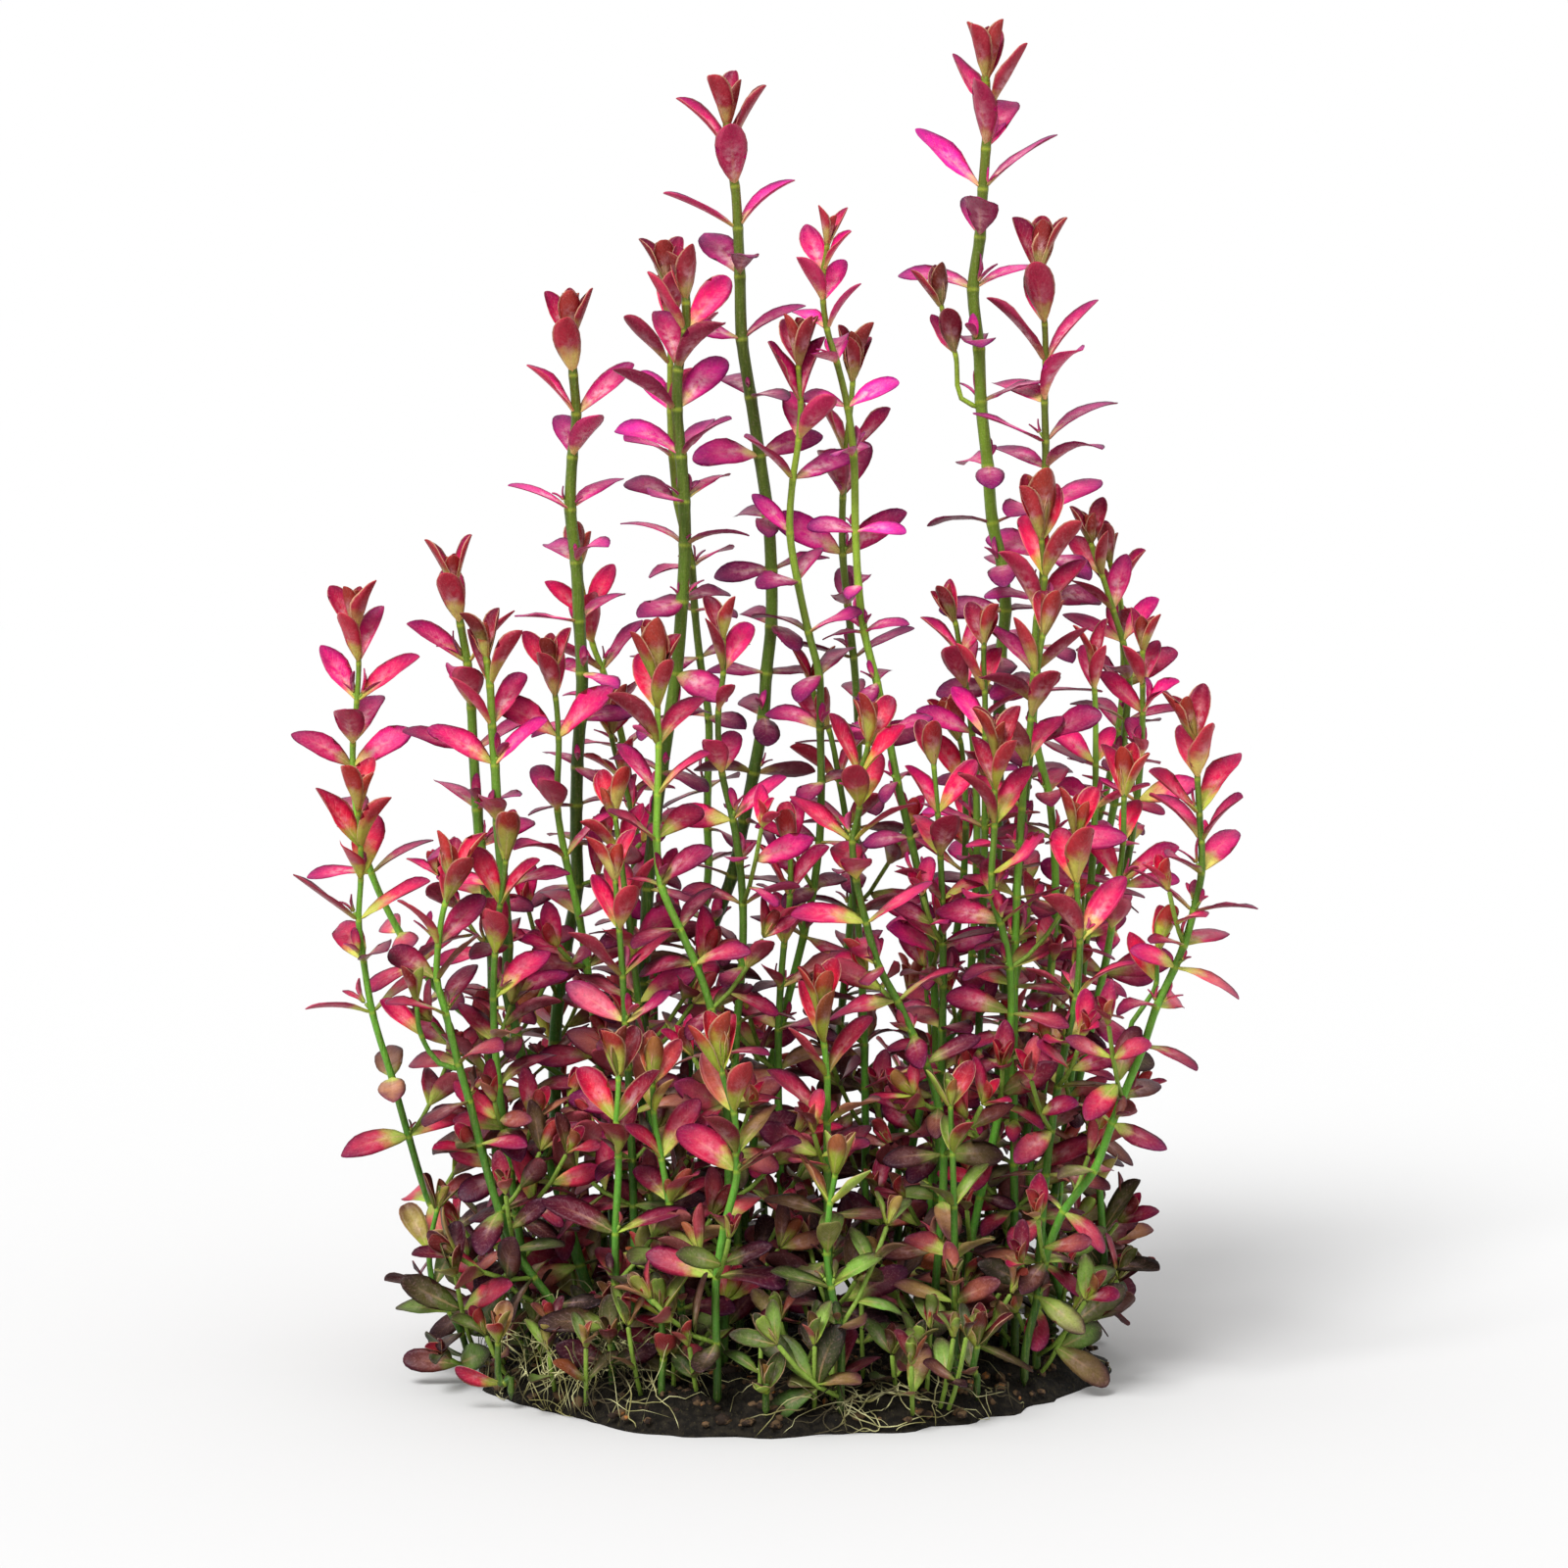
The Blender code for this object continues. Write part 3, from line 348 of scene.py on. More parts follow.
class Shoot:
    """A stem's course from its foot to its tip, and the places of its nodes, counted from the top."""

    def __init__(self, name, low, foot_depth, tip_depth, turn, leaf, seen):
        self.name, self.turn, self.leaf = name, turn, leaf
        self.stout = STOUT.get(name, COMMON_STOUT)
        self.foot_width = STEM_FOOT
        top = seen[0][1]
        low_up = shown_up(low[0])
        share = [(up - low_up) / (top - low_up) for _, up in seen]
        depths = [foot_depth + (tip_depth - foot_depth) * part for part in share]
        seen_points = [place(*spot, depth) for spot, depth in zip(seen, depths)]
        points = np.array(low + seen_points[::-1])
        self.knots = np.concatenate([[0], np.cumsum(np.linalg.norm(np.diff(points, axis=0), axis=1))])
        self.points = points
        nodes = []
        for lower, upper in zip(self.knots[1:-2], self.knots[2:-1]):
            parts = max(1, round((upper - lower) / INTERNODE - 0.25))
            nodes += list(np.linspace(lower, upper, parts, endpoint=False))
        self.nodes = np.array((nodes[1:] + [self.knots[-2]])[::-1])

    def at(self, along):
        """The points of the course at these lengths from its foot."""
        return smooth(self.knots, self.points, np.atleast_1d(along))

    def heading(self, along):
        """The course's direction: from a millimetre before to a millimetre after."""
        ahead = self.at(along + 1.0) - self.at(along - 1.0)
        return ahead / np.linalg.norm(ahead, axis=1, keepdims=True)

    def half_width(self, along):
        """Half the stem's width: nearly even up to the shoulder, then tapering to the top."""
        end = self.knots[-1]
        shoulder = end - min(STEM_TAPER, end / 2)
        widths = [self.foot_width, STEM_SHOULDER * self.foot_width, STEM_TOP]
        return self.stout * np.interp(along, [0, shoulder, end], widths)


def grow_shoots():
    """All shoots by name, the branches after the shoots that carry them."""
    shoots = {}
    for name, (foot, tip_depth, turn, leaf, seen) in SHOOTS.items():
        ground = np.array([*foot, float(mat_top(*foot)) + FOOT_GAP])
        low = [ground, ground + (0, 0, FOOT_STUB)]
        shoots[name] = Shoot(name, low, foot[1], tip_depth, turn, leaf, seen)
    for name, (parent, tip_depth, turn, leaf, seen) in BRANCHES.items():
        stem = shoots[parent]
        along = np.arange(0, stem.knots[-1], 0.5)
        course = stem.at(along)
        fork = np.argmin(np.linalg.norm(course - place(*seen[-1], stem.points[-1][1]), axis=1))
        head = stem.heading(along[fork])[0]
        way = place(*seen[-2], course[fork, 1]) - course[fork]
        way -= head * way.dot(head)
        way /= np.linalg.norm(way)
        start = course[fork] + way * (stem.half_width(along[fork]) + FOOT_GAP)
        low = [start, start + way * BRANCH_STUB + head * BRANCH_STUB / 2]
        shoots[name] = Shoot(name, low, course[fork, 1], tip_depth, turn, leaf, seen[:-1])
        shoots[name].foot_width = BRANCH_FOOT
    return shoots


def leaf_pairs(shoot, rng):
    """Each leaf from the top node down: node, place, stem's heading, turn, lift, facing and length."""
    heads = shoot.heading(shoot.nodes)
    places = shoot.at(shoot.nodes)
    for k, (spot, head) in enumerate(zip(places, heads)):
        rank = min(k, len(SPREAD) - 1)
        low = np.clip((LOW_GROWTH - spot[2]) / LOW_GROWTH, 0, 1)
        twist = TWIST * min(max(k - 1, 0), 3)
        for side in (0, 180):
            turn = shoot.turn + 90 * k + twist + side + rng.uniform(-12, 12)
            toward = max(0, -math.sin(math.radians(turn))) * min(max((rank - 3) / 4, 0), 1)
            lift = SPREAD[rank] + LOW_SPREAD * low + DROOP * toward + rng.uniform(-6, 6)
            hidden = spot[1] > BACK_DEPTH and spot[2] < BACK_HEIGHT
            facing = rng.uniform(-0.15, 0.85) * (-1 if hidden else 1)
            length = shoot.leaf * LENGTHS[rank] * (1 - 0.05 * low) * rng.uniform(0.93, 1.07)
            yield k, spot, head, turn, lift, facing, length


def blade_axes(head, turn, lift, facing=0.0):
    """A leaf's own axes: out along the blade, across it, and up from its upper face.

    Facing is the share of the way that the blade rolls about its length to face the front."""
    right = np.array([1.0, 0, 0]) - head[0] * head
    right /= np.linalg.norm(right)
    back = np.cross(head, right)
    turn, lift = math.radians(turn), math.radians(lift)
    out = right * math.cos(turn) + back * math.sin(turn)
    along = head * math.cos(lift) + out * math.sin(lift)
    upper = head * math.sin(lift) - out * math.cos(lift)
    across = np.cross(upper, along)
    roll = facing * math.asin(-across[1])
    rolled = across * math.cos(roll) - upper * math.sin(roll)
    return np.array([along, rolled, upper * math.cos(roll) + across * math.sin(roll)])


def samples(spot, axes, length):
    """Points spread over a blade, to test it against others."""
    width = length * WIDTH_OF_LENGTH
    out = np.array([0.2, 0.36, 0.52, 0.68, 0.84, 1.0])
    half = width / 2 * np.array([0.35, 0.8, 1.0, 0.9, 0.55, 0.0])
    across = np.concatenate([-half, 0 * half, half])
    return spot + np.outer(np.tile(out * length, 3), axes[0]) + np.outer(across, axes[1])


class Thicket:
    """All that is standing so far: sample points of every stem, and of each leaf as it is set."""

    def __init__(self, shoots):
        rows = []
        for i, shoot in enumerate(shoots.values()):
            along = np.arange(0, shoot.knots[-1], 1.5)
            rows.append(np.column_stack([shoot.at(along), shoot.half_width(along), np.full(len(along), i)]))
        self.stems = np.concatenate(rows)
        self.blades = np.zeros((0, 18, 3))
        self.middles = np.zeros((0, 3))
        self.owners = np.zeros(0)

    def clear(self, points, owner, leaf_gap=LEAF_GAP, stem_gap=STEM_GAP):
        """Whether a leaf with these sample points stands clear of the stems and leaves of other shoots."""
        middle = points.mean(axis=0)
        near = np.linalg.norm(self.stems[:, :3] - middle, axis=1) < STEM_NEAR
        stems = self.stems[near & (self.stems[:, 4] != owner)]
        gaps = np.linalg.norm(points[:, None] - stems[None, :, :3], axis=2) - stems[None, :, 3]
        if gaps.size and gaps.min() < stem_gap:
            return False
        near = np.linalg.norm(self.middles - middle, axis=1) < LEAF_NEAR
        others = self.blades[near & (self.owners != owner)].reshape(-1, 3)
        gaps = np.linalg.norm(points[:, None] - others[None], axis=2)
        return not gaps.size or gaps.min() > leaf_gap

    def add(self, points, owner):
        self.blades = np.concatenate([self.blades, points[None]])
        self.middles = np.concatenate([self.middles, points.mean(axis=0)[None]])
        self.owners = np.append(self.owners, owner)


def set_leaves(shoots):
    """The leaves of each shoot, shifted clear of other shoots: node rank, place, axes and length."""
    thicket = Thicket(shoots)
    rng = np.random.default_rng(7)
    leaves = {name: [] for name in shoots}
    for owner, (name, shoot) in enumerate(shoots.items()):
        for k, spot, head, turn, lift, facing, length in leaf_pairs(shoot, rng):
            for more_turn, more_lift, keep in SHIFTS:
                axes = blade_axes(head, turn + more_turn, lift + more_lift, facing)
                points = samples(spot, axes, length * keep)
                if points[:, 2].min() > LOWEST_TIP and thicket.clear(points, owner):
                    thicket.add(points, owner)
                    leaves[name].append((k, spot, axes, length * keep))
                    break
    return leaves, thicket


shoots = grow_shoots()
set_pairs, thicket = set_leaves(shoots)


# The stems
# A four-ridged green stalk, thinner upward, with a pale swollen ring at each node. Every piece of this plant
# is made of sleeves: rings of points closed by one point at either end.
STEM_SIDES = 10
STEM_RIDGE = 0.07
RING_SWELL = 0.1
STEM_SLIM = 0.88  # the soft stalk beside the solid one, whose flats stand outside it
RING_LENGTH = 0.9
RING_STEPS = (-1.6, -0.7, 0.0, 0.7, 1.6)  # from each node
STEM_STEP = 3.0
ROOTED = 2.0  # how far a stem goes on below its foot, into what it grows from
STEM_STRIPS = 8  # a long sleeve's map is cut into this many strips


def sleeve(rows, around):
    """Faces of a closed sleeve, and how many rings along it and sides around it each of their corners lies.

    Points are numbered: the root point, then each ring in turn, then the tip point."""
    ring = np.arange(around)
    after = (ring + 1) % around
    first = 1 + np.arange(rows - 1)[:, None] * around
    quads = np.stack([first + ring, first + around + ring, first + around + after, first + after], axis=-1)
    last = 1 + (rows - 1) * around
    root = np.stack([0 * ring, 1 + ring, 1 + after], axis=-1)
    tip = np.stack([last + ring, 0 * ring + last + around, last + after], axis=-1)
    low, left = np.meshgrid(np.arange(1, rows), ring, indexing="ij")
    rings_along = np.stack([low, low + 1, low + 1, low], -1)
    sides_around = np.stack([left, left, left + 1, left + 1], -1)
    quad_map = np.stack([rings_along, sides_around], -1).reshape(-1, 4, 2)
    ends = []
    for a, b in ((0, 1), (rows, rows + 1)):
        across = [ring + 0.5, ring, ring + 1] if a == 0 else [ring, ring + 0.5, ring + 1]
        along = [0 * ring + a, 0 * ring + b, 0 * ring + (b if a == 0 else a)]
        ends.append(np.stack([np.stack(along, -1), np.stack(across, -1)], -1))
    return quads.reshape(-1, 4), np.concatenate([root, tip]), quad_map, np.concatenate(ends)


def atlas(spots, rows, around, cells, used, strips):
    """Map coordinates: each sleeve, or each strip of a long one, is unrolled into a cell of its own."""
    start = spots[..., 0].min(axis=-1)
    strip = (start * strips // (rows + 1)).astype(int)
    first = -(-strip * (rows + 1) // strips)
    last = -(-(strip + 1) * (rows + 1) // strips)
    u = (spots[..., 0] - first[:, None]) / (last - first)[:, None]
    v = spots[..., 1] / around
    cell = used + strip
    column, row = cell % cells, cell // cells
    edge = 0.04
    return np.stack([(column[:, None] + edge + u * (1 - 2 * edge)) / cells,
                     (row[:, None] + edge + v * (1 - 2 * edge)) / cells], axis=-1)


def make_piece(name, sleeves, materials, cells=None):
    """One mesh of many sleeves. Each batch holds n alike sleeves, with values for each point or sleeve."""
    points, quads, tris, quad_maps, tri_maps, quad_slots, tri_slots = [], [], [], [], [], [], []
    values, used, total = {}, 0, 0
    for batch in sleeves:
        n, rows, around = len(batch["points"]), batch["rows"], batch["around"]
        batch_quads, batch_tris, quad_spots, tri_spots = sleeve(rows, around)
        offset = total + np.arange(n)[:, None, None] * batch["points"].shape[1]
        quads.append((batch_quads + offset).reshape(-1, 4))
        tris.append((batch_tris + offset).reshape(-1, 3))
        strips = batch.get("strips", 1)
        if cells:
            for i in range(n):
                quad_maps.append(atlas(quad_spots, rows, around, cells, used, strips))
                tri_maps.append(atlas(tri_spots, rows, around, cells, used, strips))
                used += strips
        quad_slots.append(np.full(len(quads[-1]), batch["slot"]))
        tri_slots.append(np.full(len(tris[-1]), batch["slot"]))
        points.append(batch["points"].reshape(-1, 3))
        for key, value in batch["values"].items():
            wide = np.broadcast_to(value, (n, batch["points"].shape[1], *value.shape[2:]))
            values.setdefault(key, []).append((total, wide.reshape(n * batch["points"].shape[1], -1)))
        total += n * batch["points"].shape[1]
    quads, tris = np.concatenate(quads), np.concatenate(tris)
    mesh = bpy.data.meshes.new(name)
    mesh.from_pydata(np.concatenate(points) * MM, [], quads.tolist() + tris.tolist())
    mesh.polygons.foreach_set("use_smooth", np.ones(len(mesh.polygons), bool))
    mesh.polygons.foreach_set("material_index", np.concatenate(quad_slots + tri_slots).astype(np.int32))
    for key, found in values.items():
        width = found[0][1].shape[1]
        kind, field = ("FLOAT_COLOR", "color") if width == 4 else ("FLOAT", "value")
        full = np.zeros((total, width), np.float32)
        for start, value in found:
            full[start:start + len(value)] = value
        mesh.attributes.new(key, kind, "POINT").data.foreach_set(field, full.ravel())
    if cells:
        spots = np.concatenate([np.concatenate(maps).reshape(-1, 2) for maps in (quad_maps, tri_maps)])
        mesh.uv_layers.new(name="OFBake").data.foreach_set("uv", spots.astype(np.float32).ravel())
    for material in materials:
        mesh.materials.append(material)
    piece = bpy.data.objects.new(name, mesh)
    bpy.context.scene.collection.objects.link(piece)
    return piece


def tube(course, radii, across, around, ridge=0.0):
    """A round or ridged tube along each course.

    Each ring point is the centre + radius (1 + ridge cos 4a) (cos a side + sin a over)."""
    ahead = np.gradient(course, axis=1)
    ahead /= np.linalg.norm(ahead, axis=2, keepdims=True)
    side = across - ahead * (across * ahead).sum(axis=2, keepdims=True)
    side /= np.linalg.norm(side, axis=2, keepdims=True)
    over = np.cross(side, ahead)
    angle = np.linspace(0, 2 * np.pi, around, endpoint=False)
    shape = 1 + ridge * np.cos(4 * angle)
    sideways, outward = (np.cos(angle) * shape)[:, None], (np.sin(angle) * shape)[:, None]
    ring = side[:, :, None] * sideways + over[:, :, None] * outward
    rings = course[:, 1:-1, None] + ring[:, 1:-1] * radii[:, 1:-1, None, None]
    n = len(course)
    return np.concatenate([course[:, :1], rings.reshape(n, -1, 3), course[:, -1:]], axis=1)


def graded(at, *stops):
    """A size or colour at each rank or height, read evenly between the stops (where, value)."""
    places = [stop[0] for stop in stops]
    wide = np.array([stop[1] for stop in stops], float).reshape(len(stops), -1)
    read = np.stack([np.interp(at, places, wide[:, i]) for i in range(wide.shape[1])], axis=-1)
    return read[:, 0] if wide.shape[1] == 1 else read


def to_linear(eye):
    """Rows of red, green and blue to 255, as the linear values that a material takes."""
    c = np.clip(eye, 0, 255) / 255
    flat = np.where(c < 0.04045, c / 12.92, ((c + 0.055) / 1.055) ** 2.4)
    return np.concatenate([flat, np.ones((len(flat), 1))], axis=1)[:, None]


def blend(first, second, share):
    """This share of the way from the first colour to the second."""
    return first * (1 - share) + second * share


def stem_paint(height, phase, light, olive):
    """Stem colour by height: saturated green low down and olive near the top, dimmed by a slow wave."""
    green = graded(
        height, (0, (60, 92, 36)), (35, (90, 162, 52)), (100, (108, 166, 52)), (170, (130, 158, 48)),
        (280, (142, 158, 44)),
    )
    dull = graded(
        height, (0, (46, 76, 32)), (60, (58, 118, 42)), (150, (84, 116, 32)), (280, (112, 130, 34)),
    )
    dimmed = (0.85 + 0.15 * np.sin(height / 17 + phase))[:, None]
    return to_linear(blend(green, dull, olive) * light * dimmed)[:, 0]


def over_stalk(rings):
    """A value at each point of a stalk, from its value at each ring: either end is a single point."""
    return np.concatenate([rings[:1], np.repeat(rings[1:-1], STEM_SIDES, axis=0), rings[-1:]])[None]


def stem_sleeve(shoot, light, olive):
    """The stalk: its radius tapers with height and swells by a bell curve at each node."""
    rings = [shoot.nodes + step for step in RING_STEPS]
    top = shoot.knots[-2] + 2
    along = np.unique(np.concatenate([*rings, np.arange(0, top, STEM_STEP), [0.0]]))
    along = along[(along >= 0) & (along <= top)]
    gap = np.abs(along[:, None] - shoot.nodes[None]).min(axis=1)
    ring = np.exp(-((gap / RING_LENGTH) ** 2))
    radius = STEM_SLIM * shoot.half_width(along) * (1 + RING_SWELL * ring)
    course = shoot.at(along)
    down = course[0] - (course[1] - course[0]) / np.linalg.norm(course[1] - course[0]) * ROOTED
    course = np.concatenate([[down], course, [course[-1] + (course[-1] - course[-2]) * 0.2]])
    radius = np.concatenate([[radius[0]], radius, [radius[-1]]])
    ring = np.concatenate([[0], ring, [0]])
    points = tube(course[None], radius[None], np.array([1.0, 0, 0]), STEM_SIDES, STEM_RIDGE)
    paint = stem_paint(course[:, 2], course[0, 0], light, olive)
    return dict(points=points, rows=len(course) - 2, around=STEM_SIDES, slot=0, strips=STEM_STRIPS,
                values={"ring": over_stalk(ring), "paint": over_stalk(paint)})


# The leaves
# Soft blades, nearly stalkless: a long pale heel, widest past the middle, a rounded tip. Young ones stand up
# and are cupped round the tip, older ones arch outward.
BLADE_ROWS = np.array([0.0, 0.07, 0.18, 0.32, 0.46, 0.6, 0.73, 0.84, 0.92, 0.97, 0.993, 1.0])
SMALL_ROWS = np.array([0.0, 0.1, 0.27, 0.46, 0.65, 0.82, 0.93, 0.985, 1.0])
BLADE_RIM = np.array([-1, -0.55, 0, 0.55, 1, 0.55, 0, -0.55])  # once round it, in halves of its width
BLADE_FACE = np.array([0, 1, 1, 1, 0, -1, -1, -1])  # 1 on the upper face, -1 on the lower one
BLADE_THICK = 0.32
HEEL_THICK = 0.35  # how much thicker the heel is
RIB_DEPTH = 0.16
OLD_SHADED_FACES = np.array([(46, 12, 20), (112, 26, 40), (160, 44, 58), (136, 84, 56)])  # faces of old leaves low down, darkened further as painted shade
OLD_SHADED_SHARES = 0.36, 0.3, 0.16, 0.18
# Lower faces and heels of old leaves low down: partly their own colour, partly painted shade
OLD_SHADED_BACK = np.array([118, 62, 58])
OLD_SHADED_HEEL = np.array([112, 146, 58])
CREAM_HEEL = np.array([214, 182, 120])
DEAD_LEAF = 128, 66, 36


def blades(u, spot, axes, length, width, fold, bend, twist, wave, taper, full):
    """Closed blades, one per row of the inputs, with rings at the shares u of their length.

    The middle line turns evenly from bend/2 above the axis to bend/2 below it. The half width is
    u^taper (1 - u)^full, scaled to 1 at its widest. The edges rise by fold |v|^1.7 of the half width and
    wave by a sine along the blade. The two faces part by a thickness that falls to nothing at the rim."""
    v = BLADE_RIM
    along, across, upper = (axes[:, None, i] for i in range(3))
    angle = bend[:, None] * (u - 0.5)
    ahead = np.cos(angle)[..., None] * along - np.sin(angle)[..., None] * upper
    up = np.cos(angle)[..., None] * upper + np.sin(angle)[..., None] * along
    steps = (ahead[:, 1:] + ahead[:, :-1]) / 2 * np.diff(u)[None, :, None]
    middle = np.concatenate([np.zeros_like(steps[:, :1]), np.cumsum(steps, axis=1)], axis=1)
    middle = spot[:, None] + middle * length[:, None, None]
    turn = (twist[:, None] * u)[..., None]
    side, up = across * np.cos(turn) + up * np.sin(turn), up * np.cos(turn) - across * np.sin(turn)
    widest = (taper / (taper + full))[:, None]
    inner = u[1:-1]
    outline = (inner / widest) ** taper[:, None] * ((1 - inner) / (1 - widest)) ** full[:, None]
    half = (width / 2)[:, None] * outline
    out = half[..., None] * v * (1 - 0.15 * fold[:, None, None] * v**2)
    wave = wave[:, None, None]
    ripple = wave * np.sin(9 * inner[:, None] + 2.2 * v + 40 * wave) * np.abs(v) ** 3
    lift = half[..., None] * (fold[:, None, None] * np.abs(v) ** 1.7 + ripple)
    body = (BLADE_THICK + HEEL_THICK * (1 - inner) ** 3)[:, None] * (1 - v**2) / 2 * BLADE_FACE
    rib = RIB_DEPTH * (1 - inner)[:, None] * (v == 0) * (BLADE_FACE < 0)
    rings = side[:, 1:-1, None] * out[..., None] + up[:, 1:-1, None] * (lift + body - rib)[..., None]
    rings = (middle[:, 1:-1, None] + rings).reshape(len(spot), -1, 3)
    return np.concatenate([middle[:, :1], rings, middle[:, -1:]], axis=1)


def over_blade(rings):
    """A value at each point of a blade, from its value at each ring point: the end points take the mean."""
    return np.concatenate([[rings[0].mean()], rings[1:-1].ravel(), [rings[-1].mean()]])[None]


def blade_paint(rank, height, tone, rng):
    """Each leaf's colours: upper face, tip, lower face and heel, the heel's reach and the strength of its
    painted sheen.
    """
    magenta, light, green = tone
    n = len(rank)
    low = np.clip((105 - height) / 85, 0, 1)[:, None]
    crimson = graded(
        rank, (-3, (214, 72, 38)), (-1, (210, 32, 36)), (0.5, (206, 14, 50)), (3, (196, 24, 70)),
        (7, (164, 28, 64)), (13, (132, 34, 58)),
    )
    pink = graded(
        rank, (-3, (178, 48, 44)), (-1, (196, 20, 54)), (0.5, (212, 12, 92)), (3, (208, 28, 126)),
        (7, (182, 36, 112)), (13, (136, 38, 80)),
    )
    lean = 0.85 * magenta + 0.38 * np.clip((height - 110) / 60, 0, 1) + rng.normal(0, 0.14, n)
    share = np.clip(lean, 0, 1)[:, None] * (1 - 0.55 * low)
    face = blend(crimson, pink, share)
    old = np.clip((rank - 0.5) / 3, 0, 1)[:, None]
    # Old leaves low down are darker: partly their own colour, partly painted shade, strongest near the ground
    age_and_shade = low**0.8 * (0.2 + 0.8 * old)
    face = blend(face, OLD_SHADED_FACES[rng.choice(4, n, p=OLD_SHADED_SHARES)], 0.85 * age_and_shade)
    leafy = graded(rank, (-3, (138, 196, 66)), (1, (124, 176, 62)), (6, (94, 146, 58)))
    turned = np.clip(1.8 * (green + 0.5 * low[:, 0] - rng.uniform(0, 1, n)), 0, 0.9)[:, None]
    face = blend(face, leafy, turned)
    tip = face * (0.58, 0.42, 0.64) + np.array([10, 4, 16]) * (1 - turned)
    back = graded(
        rank, (-3, (150, 72, 36)), (0, (146, 42, 34)), (2, (152, 40, 56)), (6, (140, 50, 84)),
        (13, (100, 50, 60)),
    )
    back = blend(back, face * 0.8 + 20, 0.4 * share)
    back = blend(back, leafy, turned)
    back = blend(back, OLD_SHADED_BACK, 0.75 * age_and_shade)
    heel = graded(rank, (-3, (128, 160, 44)), (0, (150, 164, 52)), (3, (160, 168, 62)), (8, (128, 134, 60)))
    cream = (share + rng.uniform(-0.3, 0.4, (n, 1))).clip(0, 1) * 0.7
    heel = blend(heel, CREAM_HEEL, cream)
    heel = blend(heel, OLD_SHADED_HEEL, 0.6 * age_and_shade)
    dead = (rng.uniform(0, 1, n) < 0.02 * low[:, 0])[:, None]
    face, tip, back = (np.where(dead, DEAD_LEAF, colour) for colour in (face, tip, back))
    # Each leaf's brightness: random, spread wider low down, then painted light and shade by height, darker
    # near the ground and lighter through the lower middle
    value = light * (1.03 + rng.uniform(-0.24, 0.18, (n, 1)) * (1 + 1.1 * low))
    value *= np.interp(height, (8, 45, 85, 150), (0.88, 1.2, 1.18, 1.03))[:, None]
    value = np.minimum(value, 1.1 - 0.08 * low + 0.05 * rank[:, None])  # the young leaves don't glow
    value *= np.where((rank < 0.5) & (height > 120), 0.88, 1)[:, None]
    colours = {"paint": face, "tip_paint": tip, "back_paint": back, "heel_paint": heel}
    values = {name: to_linear(colour * value) for name, colour in colours.items()}
    values["reach"] = (rng.uniform(0.18, 0.34, n) + 0.2 * (1 - share[:, 0]))[:, None]
    # Strength of each leaf's painted sheen, weaker on old leaves low down
    pale = rng.uniform(0.35, 1, n) * (0.6 + 0.4 * share[:, 0]) * (1 - 0.4 * age_and_shade[:, 0])
    values["pale"] = pale[:, None]
    return values


def leaf_sleeves(rows, tone, rng, u):
    """Blades from rows of rank, place, axes and length, each with its own width, cup and arch."""
    rank = np.array([row[0] for row in rows], float)
    spot = np.array([row[1] for row in rows])
    axes = np.array([row[2] for row in rows])
    length = np.array([row[3] for row in rows])
    n = len(rows)
    low = np.clip((LOW_GROWTH - spot[:, 2]) / LOW_GROWTH, 0, 1)
    wide = graded(rank, (-3, 0.46), (0, 0.43), (2, 0.40), (12, 0.41)) + 0.02 * low
    points = blades(
        u, spot, axes, length,
        width=length * wide * rng.uniform(0.88, 1.12, n),
        fold=graded(rank, (-3, 0.9), (0, 0.62), (1.5, 0.42), (4, 0.2), (9, 0.1)) + rng.normal(0, 0.07, n),
        bend=np.radians(graded(rank, (-3, -16), (0, 2), (2, 18), (5, 30), (10, 34)) + rng.normal(0, 14, n)),
        twist=np.radians(rng.normal(0, 12, n)),
        wave=rng.uniform(0, 0.16, n),
        taper=rng.uniform(0.85, 1.15, n),
        full=rng.uniform(0.54, 0.74, n) - 0.06 * low,
    )
    values = blade_paint(rank, spot[:, 2], tone, rng)
    along, across = np.meshgrid(u, BLADE_RIM, indexing="ij")
    lower = 0.5 - 0.5 * BLADE_FACE + 0 * along
    values |= {"along": over_blade(along), "across": over_blade(across), "back": over_blade(lower)}
    values["young"] = np.clip(1 - rank / 2.5, 0, 1)[:, None]
    return dict(points=points, rows=len(u) - 2, around=len(BLADE_RIM), slot=1, values=values)


# Sprigs
# The closed tips, the buds in the leaf corners and the small side shoots low on the stems. A row is a leaf's
# rank, place, axes and length, and a twig is the course and radius of a stalk.
ROSETTE = (17, 0.98), (10, 0.8), (5, 0.56)  # lift and share of the tip's length of each closed pair
BUD_CHANCE = 0.3
LOWEST_BUD = 14.0
BUD_TWIG = 0.35
TWIG_STEPS = 7
TWIG_SIDES = 5
SPRIG_RADIUS = 0.5
SPRIG_INTERNODE = 5.2
SPRIG_GAP = 0.9  # least distance between a sprig's leaf and others
SPRIG_STEM_GAP = 0.7
TWIG_GAP = 1.3
TWIG_STEM_GAP = 0.8
SPRIG_LOWEST = 0.8
SPRIG_HEIGHTS = 0, 50, 100, 101  # how likely a sprig is at each height, on either side of a node
SPRIG_CHANCES = 0.36, 0.28, 0.1, 0
SPRIG_TRIES = 4
SPRIG_SHIFTS = (0, 1), (20, 0.9), (-20, 0.9), (0, 0.65)  # more turn and share of the length
SPRIG_BUDS = 0.55, 0.36  # lengths of the closed pairs at its tip, beside its leaves
SPRIG_RISE = np.array([0, 0, 0.5])  # how far a twig curves up, beside its reach
SPRIG_LIFTS = 34, 58, 74, 84, 88  # of each pair, from the tip down
SPRIG_SIZES = 0.72, 0.95, 1.05, 1.0, 1.0
SPRIG_REACH = np.array([90.0, 60.0])  # how far a twig may end from the middle, across and in depth
SPRIG_FEET = (2.0, 4.0)  # where sprigs start from the foot of a stem, up from the mat


